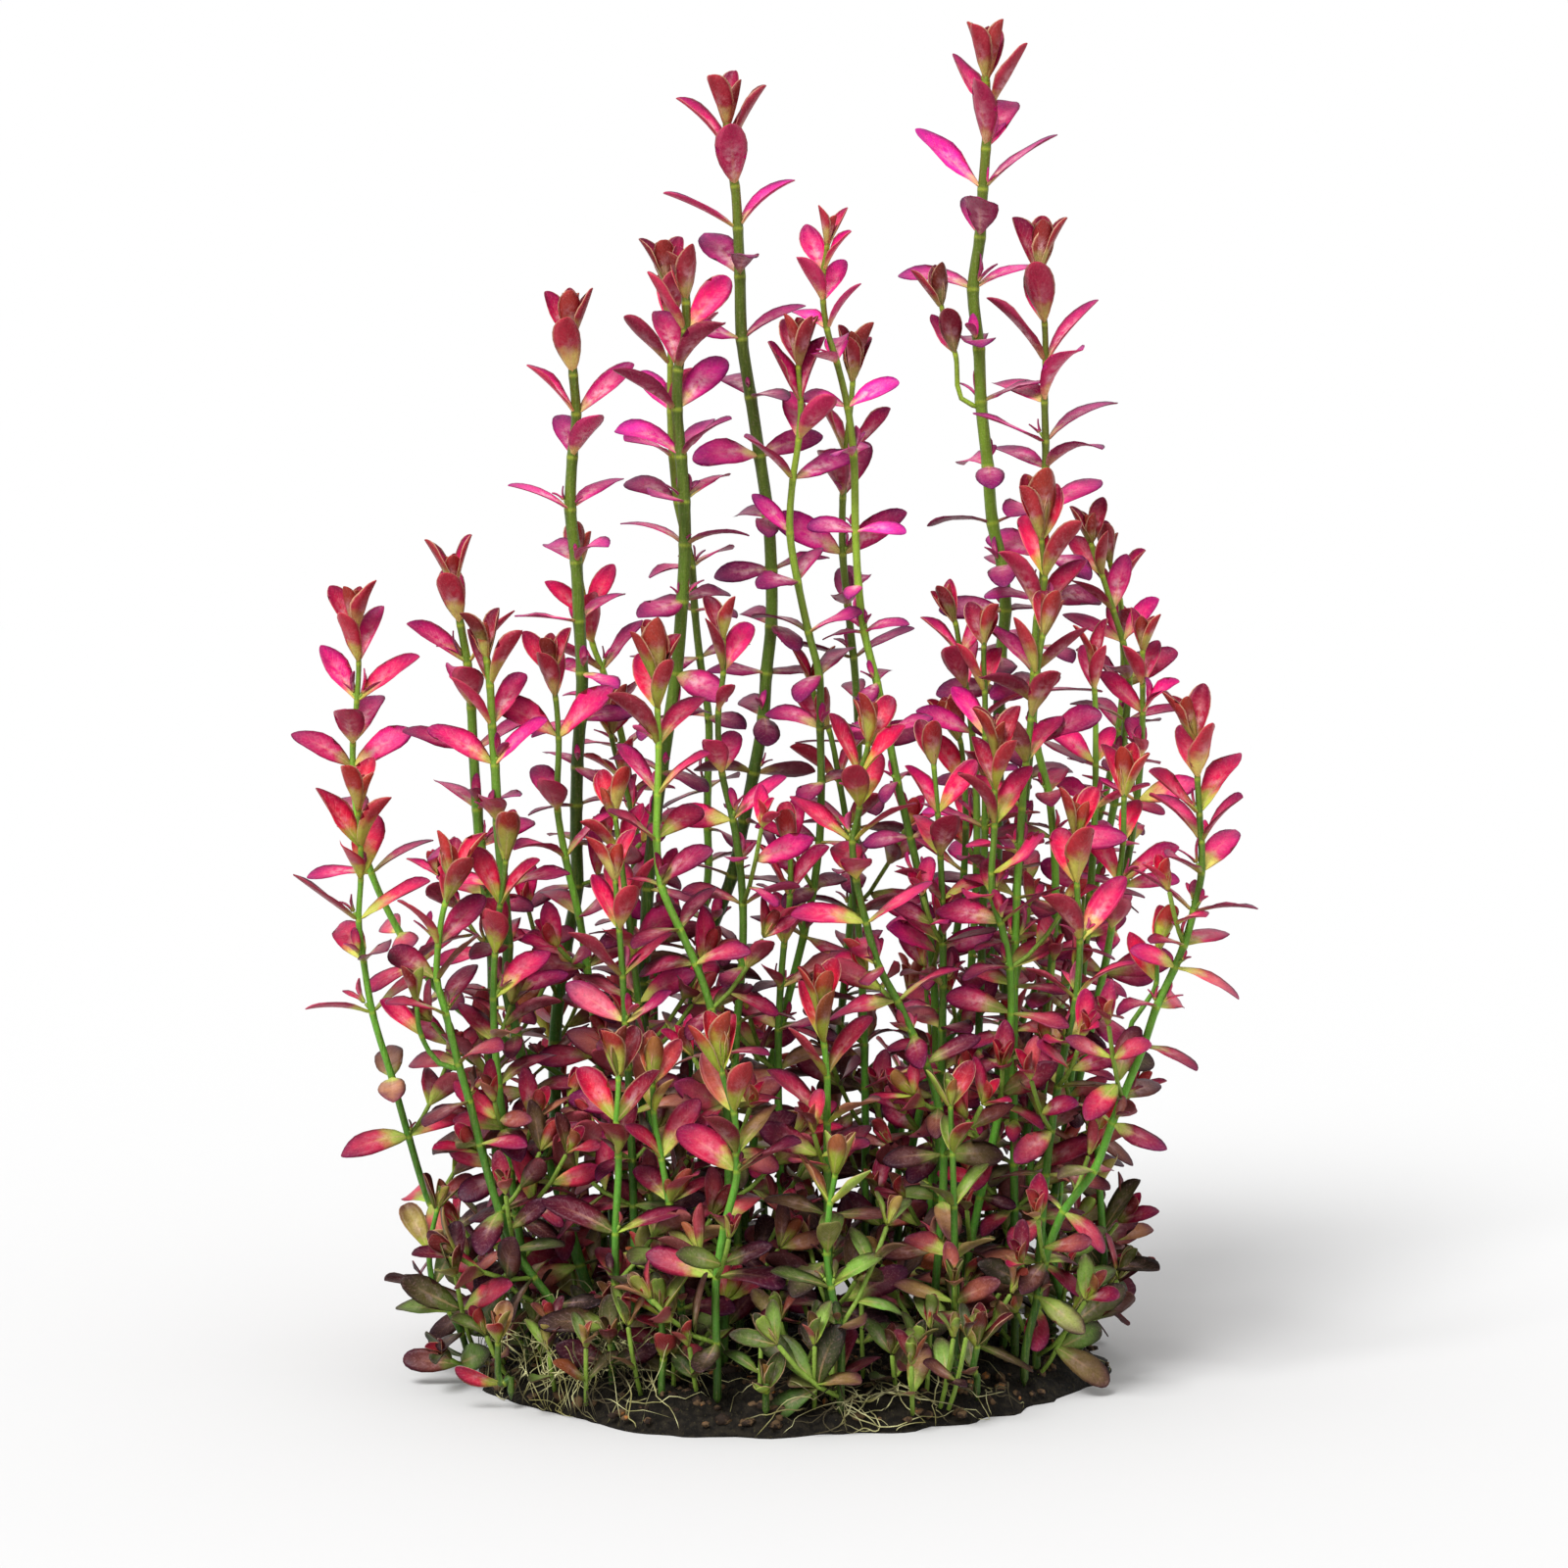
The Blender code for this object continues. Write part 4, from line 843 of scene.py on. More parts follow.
def rosette(foot, tip, turn, rng):
    """The closed young pairs at a tip: each stands inside the last, a quarter turn on and more upright."""
    reach = np.linalg.norm(tip - foot)
    head = (tip - foot) / reach
    rows = []
    for i, (lift, share) in enumerate(ROSETTE):
        for side in (0, 180):
            own_turn = turn - 90 * (i + 1) + side + rng.uniform(-8, 8)
            axes = blade_axes(head, own_turn, lift + rng.uniform(-3, 3))
            length = reach * share * rng.uniform(0.94, 1.04)
            rows.append((-1 - i, foot + head * reach * 0.06 * i, axes, length))
    return rows


def corner_buds(shoot, rng):
    """Tiny shoots in the leaf corners of some nodes: a short twig with one pair of leaves."""
    rows, twigs = [], []
    heads = shoot.heading(shoot.nodes)
    for k, (spot, head) in enumerate(zip(shoot.at(shoot.nodes), heads)):
        for side in (0, 180):
            if k < 2 or rng.uniform() > BUD_CHANCE or spot[2] < LOWEST_BUD:
                continue
            turn = shoot.turn + 90 * k + side + rng.uniform(-15, 15)
            way = blade_axes(head, turn, 30)[0]
            end = spot + way * rng.uniform(1.2, 2.4)
            twigs.append((np.linspace(spot, end, 4), BUD_TWIG))
            size = rng.uniform(2.2, 6.4)
            for half in (0, 180):
                axes = blade_axes(way, turn + half + rng.uniform(-10, 10), 24 + rng.uniform(-6, 6))
                rows.append((6, end, axes, size))
    return rows, twigs


def sprig(start, way, reach, leaf, turn, thicket, owner, rng):
    """A side shoot: a thin twig that leaves along way and curves up, its leaves shrinking to a closed tip.

    The twig is start + way reach t + up reach t^2 / 2. Returns nothing where it would run into others."""
    t = np.linspace(0, 1, TWIG_STEPS)[:, None]
    course = start + way * reach * t + SPRIG_RISE * reach * t**2
    inside = course[-1, 2] > 4 and (np.abs(course[-1, :2]) < SPRIG_REACH).all()
    if not inside or not thicket.clear(course[2:], owner, TWIG_GAP, TWIG_STEM_GAP):
        return [], []
    rows = []
    parts = max(2, round(reach / SPRIG_INTERNODE))
    for k in range(parts):
        at = 1 - k / parts
        spot = start + way * reach * at + SPRIG_RISE * reach * at**2
        head = way + 2 * SPRIG_RISE * at
        head /= np.linalg.norm(head)
        for side in (0, 180):
            lift = SPRIG_LIFTS[min(k, 4)] + rng.uniform(-12, 12)
            size = leaf * SPRIG_SIZES[min(k, 4)] * rng.uniform(0.88, 1.1)
            facing = rng.uniform(-0.1, 0.9)
            for more, keep in SPRIG_SHIFTS:
                axes = blade_axes(head, turn + 90 * k + side + more, lift, facing)
                points = samples(spot, axes, size * keep)
                above = points[:, 2].min() > SPRIG_LOWEST
                inside = above and (np.abs(points[-1, :2]) < SPRIG_REACH + 2).all()
                if inside and thicket.clear(points[1:], owner, SPRIG_GAP, SPRIG_STEM_GAP):
                    thicket.add(points, owner)
                    rows.append((2 + k * 1.6, spot, axes, size * keep))
                    break
        if k == 0:
            for i, share in enumerate(SPRIG_BUDS):
                for side in (0, 180):
                    axes = blade_axes(head, turn - 90 * (i + 1) + side, 14 - 6 * i)
                    rows.append((0.5 - i, spot, axes, leaf * share))
    return rows, [(course, SPRIG_RADIUS)] if rows else []


def low_sprigs(shoot, thicket, owner, rng):
    """Side shoots from the lower nodes and the foot of a stem, most of them near the ground."""
    rows, twigs = [], []
    starts = np.append(shoot.nodes, SPRIG_FEET)
    spots, heads = shoot.at(starts), shoot.heading(starts)
    for k, (spot, head) in enumerate(zip(spots, heads)):
        chance = np.interp(spot[2], SPRIG_HEIGHTS, SPRIG_CHANCES)
        for side in (0, 180):
            if k < 4 or rng.uniform() > chance:
                continue
            for _ in range(SPRIG_TRIES):
                turn = shoot.turn + 90 * k + side + rng.uniform(-60, 60)
                way = blade_axes(head, turn, rng.uniform(45, 78))[0]
                leaf = rng.uniform(11.5, 15.5)
                new_rows, new_twigs = sprig(spot, way, rng.uniform(5, 18), leaf, turn, thicket, owner, rng)
                if new_rows:
                    break
            rows += new_rows
            twigs += new_twigs
            owner += 1
    return rows, twigs, owner


def twig_sleeves(twigs):
    """Thin round stalks, one along each course, green all over."""
    paint = to_linear(np.tile([122, 152, 58], (len(twigs), 1)))
    rings = np.array([0, 0.02, 0.35, 0.7, 0.98, 1])
    courses = [smooth(np.linspace(0, 1, len(course)), course, rings) for course, _ in twigs]
    radii = np.array([[radius] * len(rings) for _, radius in twigs])
    points = tube(np.array(courses), radii, np.array([0.3, 0.9, 0.1]), TWIG_SIDES)
    return dict(points=points, rows=len(rings) - 2, around=TWIG_SIDES, slot=0,
                values={"ring": np.zeros((len(twigs), 1)), "paint": paint})


def add(tree, kind, inputs=(), **settings):
    """A node of this kind, with its settings made and its inputs given a value or joined to an output."""
    made = tree.nodes.new("ShaderNode" + kind)
    for key, value in settings.items():
        setattr(made, key, value)
    for key, value in dict(inputs).items():
        if isinstance(value, bpy.types.NodeSocket):
            tree.links.new(value, made.inputs[key])
        else:
            made.inputs[key].default_value = value
    return made


def times(tree, a, b):
    return add(tree, "Math", {0: a, 1: b}, operation="MULTIPLY").outputs[0]


def plus(tree, a, b):
    return add(tree, "Math", {0: a, 1: b}, operation="ADD").outputs[0]


def minus(tree, a, b):
    return add(tree, "Math", {0: a, 1: b}, operation="SUBTRACT").outputs[0]


def between(tree, value, least, most):
    """From least where value is 0 to most where it is 1, in a straight line."""
    return add(tree, "MapRange", {"Value": value, "To Min": least, "To Max": most}).outputs[0]


def rise(tree, value, start, end):
    """0 before start and 1 after end, with a soft step between them."""
    inputs = {"Value": value, "From Min": start, "From Max": end}
    return add(tree, "MapRange", inputs, interpolation_type="SMOOTHSTEP").outputs[0]


def mix(tree, share, a, b, blend_type="MIX"):
    return add(tree, "Mix", {0: share, 6: a, 7: b}, data_type="RGBA", blend_type=blend_type).outputs[2]


def read(tree, name):
    """A value that the piece carries at its points."""
    return add(tree, "Attribute", attribute_name=name).outputs["Fac"]


def read_colour(tree, name):
    """A colour that the piece carries at its points."""
    return add(tree, "Attribute", attribute_name=name).outputs["Color"]


def noise(tree, size_mm, detail=2.0, stretch=(1, 1, 1)):
    """Cloudy noise in the piece's own space, whose features are about this many millimetres across."""
    spot = add(tree, "TexCoord").outputs["Object"]
    scaled = add(tree, "Mapping", {"Vector": spot, "Scale": stretch}).outputs[0]
    inputs = {"Vector": scaled, "Scale": 1000 / size_mm, "Detail": detail}
    return add(tree, "TexNoise", inputs).outputs["Fac"]


def new_group(name, inputs, outputs):
    group = bpy.data.node_groups.new(name, "ShaderNodeTree")
    for label, kind in inputs:
        group.interface.new_socket(label, in_out="INPUT", socket_type=kind)
    for label, kind in outputs:
        group.interface.new_socket(label, in_out="OUTPUT", socket_type=kind)
    return group, group.nodes.new("NodeGroupInput"), group.nodes.new("NodeGroupOutput")


# The living skin: fine pale and dark specks over cloudy patches, which both leaves and stems show.
skin_group, given, put_out = new_group(
    "living_skin",
    [("Colour", "NodeSocketColor"), ("Patches", "NodeSocketFloat"), ("Specks", "NodeSocketFloat")],
    [("Colour", "NodeSocketColor"), ("Grain", "NodeSocketFloat")],
)
colour, patches, specks = (given.outputs[label] for label in ("Colour", "Patches", "Specks"))
patch = times(skin_group, rise(skin_group, noise(skin_group, 3.2, 3), 0.38, 0.66), patches)
dimmed = mix(skin_group, 1.0, colour, (0.62, 0.55, 0.62, 1), "MULTIPLY")
patched = mix(skin_group, patch, colour, dimmed)
grain = noise(skin_group, 0.45, 2)
pale = mix(skin_group, 0.22, patched, (0.75, 0.4, 0.42, 1))
dark = mix(skin_group, 1.0, patched, (0.45, 0.4, 0.45, 1), "MULTIPLY")
bright_speck = times(skin_group, rise(skin_group, grain, 0.56, 0.7), specks)
dark_speck = times(skin_group, rise(skin_group, grain, 0.44, 0.3), specks)
speckled = mix(skin_group, dark_speck, mix(skin_group, bright_speck, patched, pale), dark)
skin_group.links.new(speckled, put_out.inputs["Colour"])
skin_group.links.new(grain, put_out.inputs["Grain"])


def new_material(name, roughness):
    material = bpy.data.materials.new(name)
    material.use_nodes = True
    shader = material.node_tree.nodes["Principled BSDF"]
    shader.inputs["Roughness"].default_value = roughness
    shader.inputs["Specular IOR Level"].default_value = 0.16
    return material, material.node_tree, shader


def use_skin(tree, colour, patches, specks):
    """The living skin over this colour, as its colour and its grain."""
    skin = add(tree, "Group", node_tree=skin_group)
    tree.links.new(colour, skin.inputs["Colour"])
    skin.inputs["Patches"].default_value = patches
    skin.inputs["Specks"].default_value = specks
    return skin.outputs["Colour"], skin.outputs["Grain"]


def finish_surface(tree, shader, colour, height, distance_mm, rough):
    tree.links.new(colour, shader.inputs["Base Color"])
    tree.links.new(rough, shader.inputs["Roughness"])
    bump = add(tree, "Bump", {"Height": height, "Distance": distance_mm * MM, "Strength": 0.5})
    tree.links.new(bump.outputs[0], shader.inputs["Normal"])


# The leaf's finish
# The blade's colour deepens to the tip and rim, a pale rib runs up from the heel, faint side veins arch off
# it, and the lower face is duller.
leaf_finish, tree, shader = new_material("leaf", 0.42)
along, across, young = read(tree, "along"), read(tree, "across"), read(tree, "young")
off_rib = add(tree, "Math", {0: across}, operation="ABSOLUTE").outputs[0]
wander = times(tree, minus(tree, noise(tree, 2.5), 0.5), 0.35)
toward_tip = plus(tree, plus(tree, along, times(tree, off_rib, 0.22)), wander)
toward_tip = rise(tree, toward_tip, 0.55, 1.15)
face = mix(tree, toward_tip, read_colour(tree, "paint"), read_colour(tree, "tip_paint"))
under = add(tree, "Math", {0: read(tree, "back"), 1: 0.5}, operation="GREATER_THAN").outputs[0]
body = mix(tree, under, face, read_colour(tree, "back_paint"))

# A painted sheen: a pale pink patch beside the rib on the lower blade, broken by noise
painted_sheen = times(tree, rise(tree, off_rib, 0.75, 0.1), rise(tree, along, 0.8, 0.35))
painted_sheen = times(tree, painted_sheen, rise(tree, noise(tree, 1.4, 3), 0.32, 0.68))
painted_sheen = times(tree, painted_sheen, read(tree, "pale"))
body = mix(tree, times(tree, painted_sheen, 0.95), body, mix(tree, 0.75, body, (0.90, 0.60, 0.64, 1)))

reach = plus(tree, read(tree, "reach"), times(tree, under, times(tree, young, 0.22)))
outward = plus(tree, plus(tree, along, times(tree, off_rib, 0.1)), wander)
heel_share = rise(tree, minus(tree, outward, reach), 0.06, -0.26)
body = mix(tree, heel_share, body, read_colour(tree, "heel_paint"))

rib_width = times(tree, minus(tree, 1.15, along), 0.14)
rib = rise(tree, minus(tree, rib_width, off_rib), -0.05, 0.06)
rib = times(tree, rib, rise(tree, along, 0.85, 0.2))
body = mix(tree, times(tree, rib, 0.5), body, mix(tree, 0.5, body, (0.75, 0.42, 0.24, 1)))
slant = minus(tree, times(tree, along, 56.0), times(tree, off_rib, 13.0))
vein = rise(tree, add(tree, "Math", {0: slant}, operation="SINE").outputs[0], 0.72, 1.0)
vein = times(tree, vein, rise(tree, off_rib, 0.95, 0.3))
body = mix(tree, times(tree, vein, 0.05), body, mix(tree, 0.6, body, (0.75, 0.4, 0.3, 1)))
rim_line = times(tree, rise(tree, off_rib, 0.86, 0.98), times(tree, young, 0.75))
body = mix(tree, rim_line, body, (0.72, 0.42, 0.25, 1))

colour, grain = use_skin(tree, body, 0.45, 0.35)
height = plus(tree, times(tree, grain, 0.5), times(tree, vein, -0.35))
height = plus(tree, height, times(tree, rib, -0.5))
finish_surface(tree, shader, colour, height, 0.25, between(tree, grain, 0.34, 0.52))

# The stem's finish
# Streaks along it over its own colour, and bright yellow-green rings at the nodes.
stem_finish, tree, shader = new_material("stem", 0.45)
streak = rise(tree, noise(tree, 0.6, 2, (1, 1, 0.08)), 0.35, 0.7)
bark = mix(tree, times(tree, streak, 0.35), read_colour(tree, "paint"), (0.15, 0.20, 0.03, 1))
ring_share = rise(tree, read(tree, "ring"), 0.55, 1.1)
bark = mix(tree, times(tree, ring_share, 0.5), bark, (0.40, 0.48, 0.04, 1))
colour, grain = use_skin(tree, bark, 0.35, 0.3)
finish_surface(tree, shader, colour, plus(tree, grain, streak), 0.2, between(tree, streak, 0.36, 0.5))

# The shoots
# One piece for each shoot: its stalk, leaves, buds and sprigs. Its tone is how far it leans from crimson to
# magenta, how light it is, and how green its leaves are.
TONES = {
    "left_shoot_1": (0.45, 1.0, 0), "left_shoot_2": (0.15, 1.0, 0), "left_shoot_3": (0.6, 1.0, 0),
    "left_shoot_4": (0.5, 0.95, 0), "left_shoot_5": (0.35, 0.85, 0.05), "left_shoot_6": (0.45, 0.95, 0),
    "left_shoot_7": (0.65, 1.0, 0), "left_branch": (0.4, 0.8, 0.3), "left_low_shoot_1": (0.2, 0.8, 0.3),
    "middle_shoot_1": (0.6, 0.97, 0), "middle_shoot_2": (0.6, 0.9, 0), "middle_shoot_3": (0.7, 0.95, 0),
    "middle_shoot_4": (0.95, 1.15, 0), "middle_shoot_5": (0.55, 0.92, 0),
    "middle_shoot_6": (0.55, 0.88, 0), "middle_shoot_9": (0.2, 0.95, 0),
    "middle_shoot_10": (0.15, 1.0, 0), "middle_shoot_11": (0.05, 0.9, 0), "right_shoot_1": (0.8, 1.05, 0),
    "right_shoot_2": (0.6, 1.05, 0), "right_shoot_3": (0.25, 0.95, 0), "right_shoot_16": (0.35, 1.0, 0),
    "right_branch_1": (0.75, 0.85, 0.1), "right_low_shoot": (0.2, 0.8, 0.2),
    "front_shoot_1": (0.1, 0.8, 0), "front_shoot_2": (0.1, 1.12, 0.05), "front_shoot_3": (0.1, 1.08, 0.1),
    "front_shoot_4": (0.1, 0.95, 0.75), "front_shoot_5": (0.1, 0.9, 0.5),
    "front_low_shoot_1": (0.0, 1.15, 0.2), "front_low_shoot_2": (0.0, 0.95, 0.6),
    "front_low_shoot_3": (0.0, 1.1, 0.2),
}
COMMON_TONES = (0.1, 0.88, 0.0), (0.7, 1.12, 0.16)  # between these, at random


def sprig_sleeves(rows, twigs, tone, rng):
    """The sleeves of some twigs and of the leaves that they carry."""
    return [twig_sleeves(twigs), leaf_sleeves(rows, tone, rng, SMALL_ROWS)] if twigs else []


owner = len(shoots)
for order, (name, shoot) in enumerate(shoots.items()):
    rng = np.random.default_rng(100 + order)
    tone = TONES.get(name, rng.uniform(*COMMON_TONES))
    foot, tip = shoot.at(shoot.knots[-2])[0], shoot.at(shoot.knots[-1])[0]
    bud_rows, bud_twigs = corner_buds(shoot, rng)
    sprig_rows, sprig_twigs, owner = low_sprigs(shoot, thicket, owner, rng)
    rows = set_pairs[name] + rosette(foot, tip, shoot.turn, rng)
    small_rows, twigs = bud_rows + sprig_rows, bud_twigs + sprig_twigs
    cells = math.ceil(math.sqrt(STEM_STRIPS + len(rows) + len(small_rows) + len(twigs)))
    olive = np.clip((shoot.stout - 0.75) / 0.5, 0, 1)
    stalk = stem_sleeve(shoot, rng.uniform(0.85, 1.1), olive)
    sleeves = [stalk, leaf_sleeves(rows, tone, rng, BLADE_ROWS)]
    sleeves += sprig_sleeves(small_rows, twigs, tone, rng)
    piece = make_piece(name + "_grown", sleeves, [stem_finish, leaf_finish], cells)
    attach(piece, "root")
    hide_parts(name)

# The mat's sprigs
# The small shoots that rise from the mat of roots between the stems and round its rim.
MAT_SPRIGS = 125
SPRIG_TONE = (0.1, 0.9, 0.35)

rng = np.random.default_rng(77)
rows, twigs = [], []
for i in range(MAT_SPRIGS):
    angle = rng.uniform(0, 2 * np.pi)
    spot = np.array([math.cos(angle), math.sin(angle)]) * MAT_RADIUS * rng.uniform(0.25, 0.92) ** 0.45
    spot *= mat_edge(*spot)
    start = np.array([*spot, mat_top(*spot) - 1])
    out = np.array([*(spot / MAT_RADIUS * rng.uniform(0.2, 1.1) + rng.normal(0, 0.3, 2)), 1.0])
    way = out / np.linalg.norm(out)
    turn, leaf = rng.uniform(0, 360), rng.uniform(9, 14)
    new_rows, new_twigs = sprig(start, way, rng.uniform(5, 13), leaf, turn, thicket, owner + i, rng)
    rows += new_rows
    twigs += new_twigs
cells = math.ceil(math.sqrt(len(rows) + len(twigs)))
sleeves = sprig_sleeves(rows, twigs, SPRIG_TONE, rng)
sprigs = make_piece("mat_sprigs", sleeves, [stem_finish, leaf_finish], cells)
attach(sprigs, "root")
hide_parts("root_mat")

# The root mat
# Felted roots and soil, near black: their own dark colour deepened with painted shade. A low cushion with a
# bumpy top and a wandering edge, cut off flat underneath.
MAT_TURNS = 160
MAT_RINGS = 60
MAT_WAVES = 12


def bumps(x, y, size, seed):
    """Soft lumps about this size: twice the mean of sine waves that run in random directions."""
    rng = np.random.default_rng(seed)
    way = rng.uniform(0, 2 * np.pi, MAT_WAVES)
    length = size * rng.uniform(0.7, 1.5, MAT_WAVES)
    phase = rng.uniform(0, 2 * np.pi, MAT_WAVES)
    waves = np.sin((x[..., None] * np.cos(way) + y[..., None] * np.sin(way)) * 2 * np.pi / length + phase)
    return waves.mean(axis=-1) * 2


def mat_skin(x, y):
    """Height of the felt: the mat's top with lumps, rounded off to the ground over the last fifth."""
    out = np.hypot(x, y) / (MAT_RADIUS * mat_edge(x, y))
    fall = 1 - np.clip((out - 0.8) / 0.19, 0, 1) ** 2
    return np.maximum(mat_top(x, y) + 1.1 * bumps(x, y, 9, 1) + 0.8 * bumps(x, y, 3.5, 2), 0.5) * fall


share = np.linspace(0, 1, MAT_RINGS + 1)[1:]
angle = np.linspace(0, 2 * np.pi, MAT_TURNS, endpoint=False)
out, turn = np.meshgrid(share, angle, indexing="ij")
x, y = np.cos(turn), np.sin(turn)
ragged = 0.98 + 0.035 * bumps(x * 60, y * 60, 14, 3) + 0.008 * bumps(x * 60, y * 60, 5, 4)
edge = MAT_RADIUS * mat_edge(x, y) * out * np.minimum(ragged, 1)
x, y = x * edge, y * edge
z = mat_skin(x, y) * (1 - np.clip((out - 0.93) / 0.07, 0, 1) ** 2)
top = np.stack([x, y, z], axis=-1)
under = top[::-1].copy() * (1, 1, 0)
rings = np.concatenate([top, under[1:]])
middle = np.array([[0, 0, mat_top(0, 0)]]), np.array([[0, 0, 0.0]])
points = np.concatenate([middle[0], rings.reshape(-1, 3), middle[1]])[None]
soil, tree, shader = new_material("felted_roots", 0.85)
clod = noise(tree, 1.6, 6)
fibre = noise(tree, 0.5, 3, (1, 0.2, 1))
# Near-black soil: dark soil deepened with painted shade, with paler root fibres over it
dark_soil_and_shade = mix(tree, rise(tree, clod, 0.4, 0.62), (0.004, 0.003, 0.002, 1), (0.014, 0.011, 0.007, 1))
dark_soil_and_shade = mix(tree, times(tree, rise(tree, fibre, 0.6, 0.72), 0.4), dark_soil_and_shade, (0.07, 0.06, 0.025, 1))
finish_surface(tree, shader, dark_soil_and_shade, plus(tree, clod, fibre), 0.8, between(tree, clod, 0.75, 0.95))
felt = dict(points=points, rows=len(rings), around=MAT_TURNS, slot=0, values={})
mat = make_piece("root_mat_felt", [felt], [soil])
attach(mat, "root")
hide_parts("root_mat")


# Fine roots
# Straw-coloured threads that wander over the mat and stand off it in loops, thickest at the front left.
ROOTS = 220
ROOT_STEPS = 18
ROOT_SIDES = 5

rng = np.random.default_rng(21)
patches = np.array([(-48, -28), (-38, -38), (14, -54), (40, -40), (0, 0)])
spread = np.array([7, 6, 7, 8, 34])
high = np.array([2.6, 2.6, 1.3, 1, 1])  # how far the threads of each patch stand off the mat
pick = rng.choice(len(patches), ROOTS, p=[0.32, 0.27, 0.13, 0.06, 0.22])
start = patches[pick] + rng.normal(0, 0.6, (ROOTS, 2)) * spread[pick][:, None]
start /= np.maximum(1, np.hypot(*start.T) / (mat_edge(*start.T) * (MAT_RADIUS - 6)))[:, None]
heading = rng.uniform(0, 2 * np.pi, (ROOTS, 1))
heading = heading + np.cumsum(rng.normal(0, 0.34, (ROOTS, ROOT_STEPS)), axis=1)
stride = rng.uniform(0.6, 1.9, (ROOTS, 1))
steps = np.stack([np.cos(heading), np.sin(heading)], axis=-1) * stride[..., None]
path = start[:, None] + np.cumsum(steps, axis=1)
x, y = path[..., 0], path[..., 1]
inside = np.maximum(1, np.hypot(x, y) / (mat_edge(x, y) * (MAT_RADIUS - 1)))
x, y = x / inside, y / inside
step = np.linspace(0, 1, ROOT_STEPS)
loop = rng.uniform(0, 4, (ROOTS, 1)) ** 1.3 * np.sin(np.pi * step)
loop = (loop + rng.uniform(0, 4, (ROOTS, 1)) * (1 - step) ** 3) * high[pick][:, None]
sway = 0.4 * np.sin(step * rng.uniform(6, 18, (ROOTS, 1)))
height = mat_skin(x, y) + 0.3 + loop + sway
height = np.maximum(height, 0.3)  # no root goes below the cut
path = np.stack([x, y, height], axis=-1)
radii = rng.uniform(0.09, 0.19, (ROOTS, 1)) * (1 - 0.5 * step)
thread, tree, shader = new_material("fine_roots", 0.6)
straw = mix(tree, rise(tree, noise(tree, 4, 2), 0.35, 0.7), (0.20, 0.18, 0.06, 1), (0.60, 0.58, 0.30, 1))
straw = mix(tree, rise(tree, noise(tree, 14, 1), 0.45, 0.6), straw, (0.05, 0.04, 0.02, 1))
fuzz = noise(tree, 0.3, 2)
finish_surface(tree, shader, straw, fuzz, 0.1, between(tree, fuzz, 0.5, 0.7))
points = tube(path, radii, np.array([0.2, 0.1, 0.97]), ROOT_SIDES)
threads = dict(points=points, rows=ROOT_STEPS - 2, around=ROOT_SIDES, slot=0, values={})
roots = make_piece("fine_roots", [threads], [thread])
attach(roots, "root")
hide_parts("root_mat")


# Crumbs
# Grains of dark soil and dead leaf caught among the roots: small uneven stones, each a squashed ball.
CRUMBS = 700
CRUMB_ROWS = 3
CRUMB_SIDES = 6

spot = rng.normal(0, 1, (CRUMBS, 2))
spot /= np.linalg.norm(spot, axis=1, keepdims=True)
spot = spot * (rng.uniform(0.1, 0.97, (CRUMBS, 1)) ** 0.6) * MAT_RADIUS
spot *= mat_edge(*spot.T)[:, None]
size = rng.uniform(0.4, 1.5, (CRUMBS, 1, 1)) * rng.uniform(0.6, 1.2, (CRUMBS, 1, 3))
level = np.linspace(-1, 1, CRUMB_ROWS + 2)
width = np.sqrt(1 - level[1:-1] ** 2)
angle = np.linspace(0, -2 * np.pi, CRUMB_SIDES, endpoint=False)
ball = np.stack([np.outer(width, np.cos(angle)), np.outer(width, np.sin(angle)),
                 np.outer(level[1:-1], np.ones(CRUMB_SIDES))], axis=-1).reshape(-1, 3)
ball = np.concatenate([[[0, 0, -1]], ball, [[0, 0, 1]]])
uneven = 1 + rng.uniform(-0.25, 0.25, (CRUMBS, len(ball), 1))
centre = np.column_stack([spot, np.maximum(mat_skin(*spot.T), 2.2)])[:, None]
crumb, tree, shader = new_material("soil_crumbs", 0.8)
fleck = noise(tree, 2.2, 3)
grit = mix(tree, rise(tree, fleck, 0.45, 0.55), (0.02, 0.012, 0.008, 1), (0.10, 0.06, 0.03, 1))
grit = mix(tree, rise(tree, fleck, 0.62, 0.68), grit, (0.28, 0.11, 0.03, 1))
finish_surface(tree, shader, grit, noise(tree, 0.5, 3), 0.3, between(tree, fleck, 0.7, 0.95))
points = centre + ball * size * uneven
stones = dict(points=points, rows=CRUMB_ROWS, around=CRUMB_SIDES, slot=0, values={})
crumbs = make_piece("soil_crumbs", [stones], [crumb])
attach(crumbs, "root")
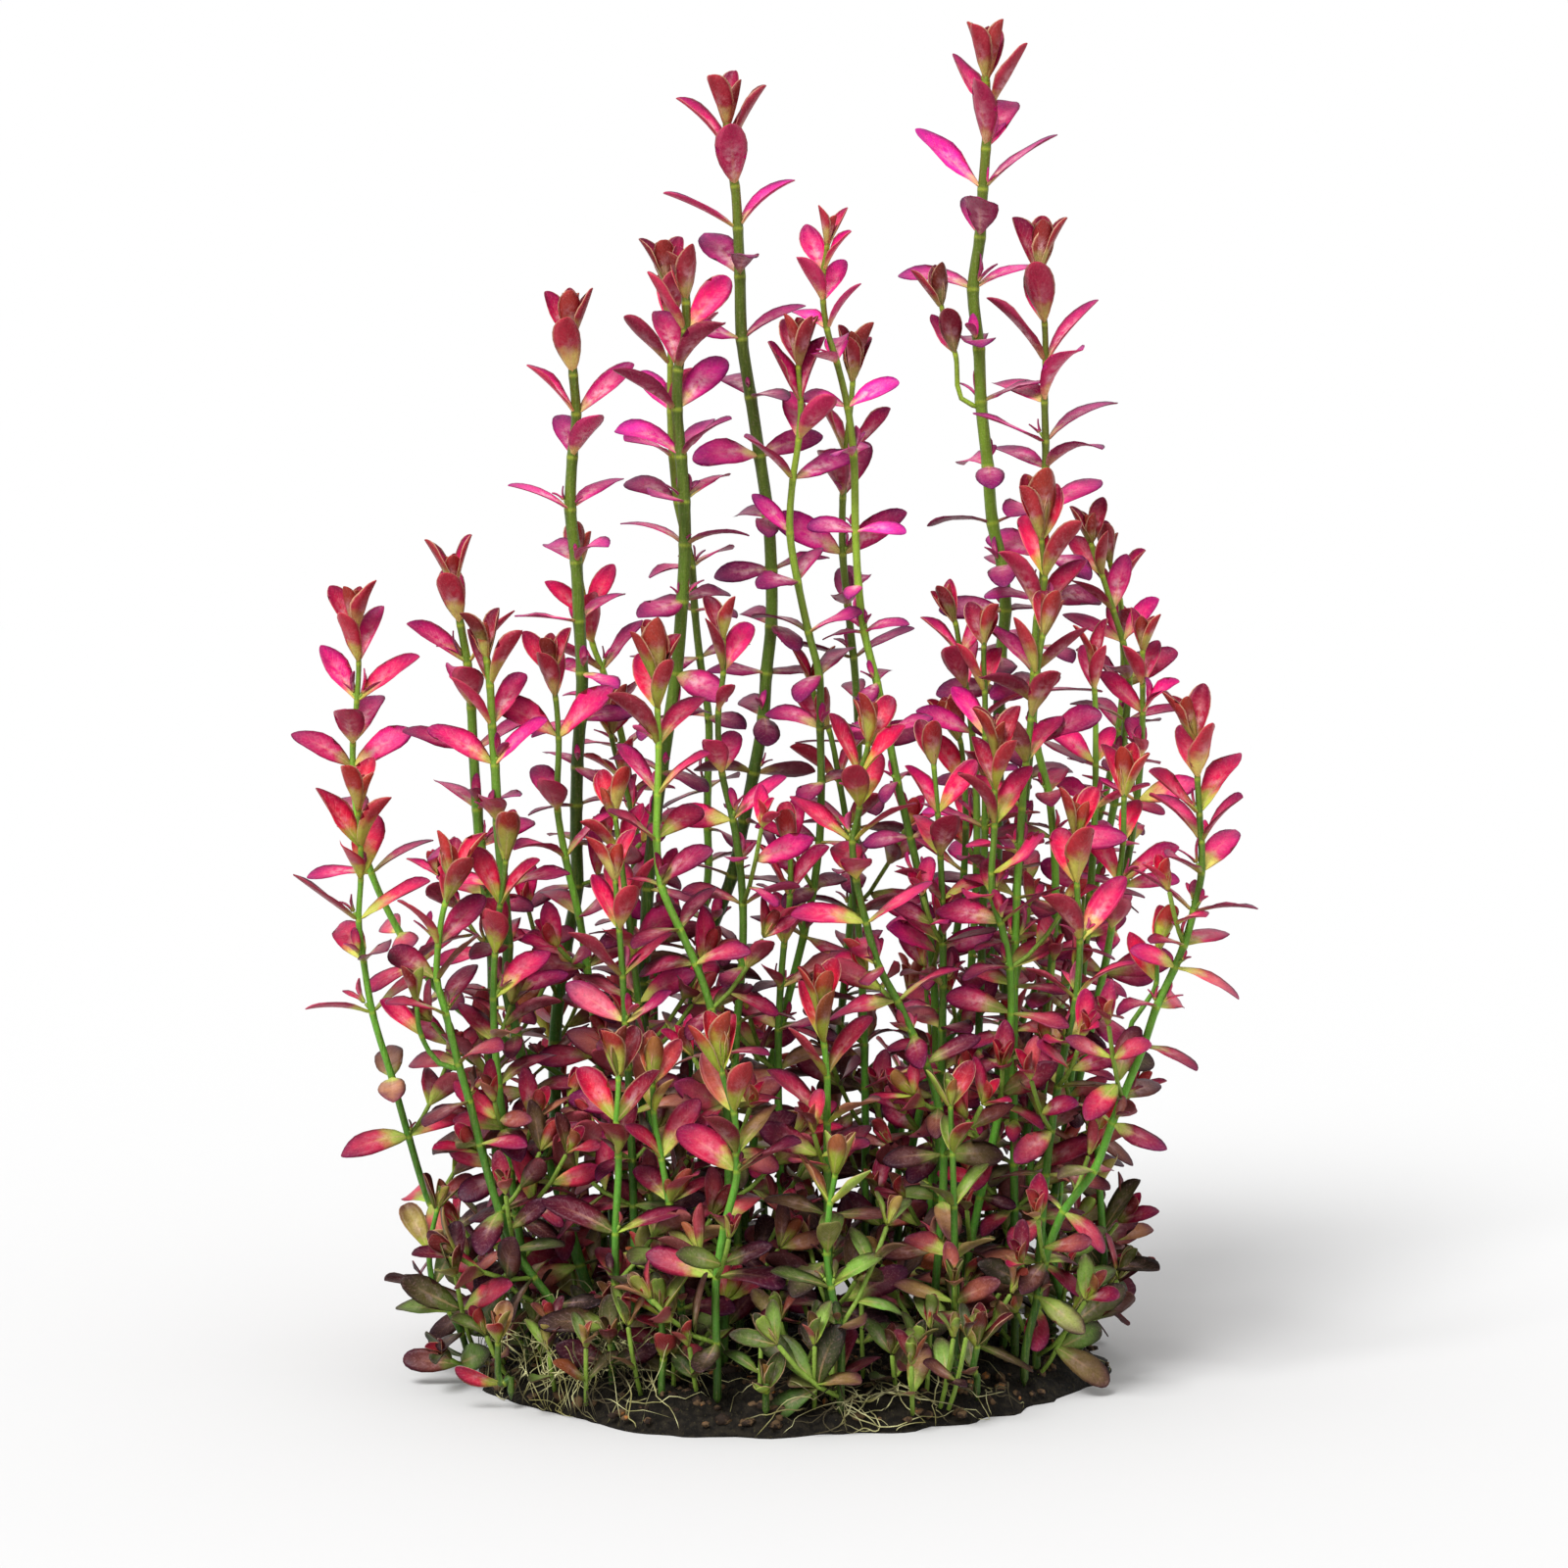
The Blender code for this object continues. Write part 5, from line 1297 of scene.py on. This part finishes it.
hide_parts("root_mat")


# The studio
# A plain pale floor, one wide soft light from the front left above, and surroundings as bright as the floor
SURROUND = 1.0
SUN = 3.5
SUN_TILT = math.radians(42)
SUN_TURN = math.radians(-28)
SUN_WIDTH = math.radians(25)
FLOOR = SURROUND / (SURROUND + SUN * math.cos(SUN_TILT) / math.pi)
FLOOR_REACH = 3  # metres each way
LENS = 100
SENSOR = 36

floor_mesh = bpy.data.meshes.new("floor")
corners = [(x * FLOOR_REACH, y * FLOOR_REACH, 0) for x, y in ((-1, -1), (1, -1), (1, 1), (-1, 1))]
floor_mesh.from_pydata(corners, [], [(0, 1, 2, 3)])
floor = bpy.data.objects.new("floor", floor_mesh)
bpy.context.scene.collection.objects.link(floor)
floor_finish = bpy.data.materials.new("floor")
floor_finish.use_nodes = True
shader = floor_finish.node_tree.nodes["Principled BSDF"]
shader.inputs["Base Color"].default_value = (FLOOR, FLOOR, FLOOR, 1)
shader.inputs["Roughness"].default_value = 0.9
shader.inputs["Specular IOR Level"].default_value = 0
floor_mesh.materials.append(floor_finish)

world = bpy.data.worlds.new("studio")
bpy.context.scene.world = world
world.use_nodes = True
background = world.node_tree.nodes["Background"]
background.inputs["Color"].default_value = (1, 1, 1, 1)
background.inputs["Strength"].default_value = SURROUND

lamp = bpy.data.lights.new("key", "SUN")
lamp.energy, lamp.angle = SUN, SUN_WIDTH
light = bpy.data.objects.new("key", lamp)
light.rotation_euler = (SUN_TILT, 0, SUN_TURN)
bpy.context.scene.collection.objects.link(light)

camera = bpy.data.objects.new("camera", bpy.data.cameras.new("camera"))
camera.data.lens, camera.data.sensor_width = LENS, SENSOR
camera.location = (0, -VIEW_DISTANCE * MM * math.cos(VIEW_TILT),
                   (VIEW_HEIGHT + VIEW_DISTANCE * math.sin(VIEW_TILT)) * MM)
camera.rotation_euler = (math.pi / 2 - VIEW_TILT, 0, 0)
bpy.context.scene.collection.objects.link(camera)
bpy.context.scene.camera = camera
bpy.context.scene.view_settings.view_transform = "Standard"
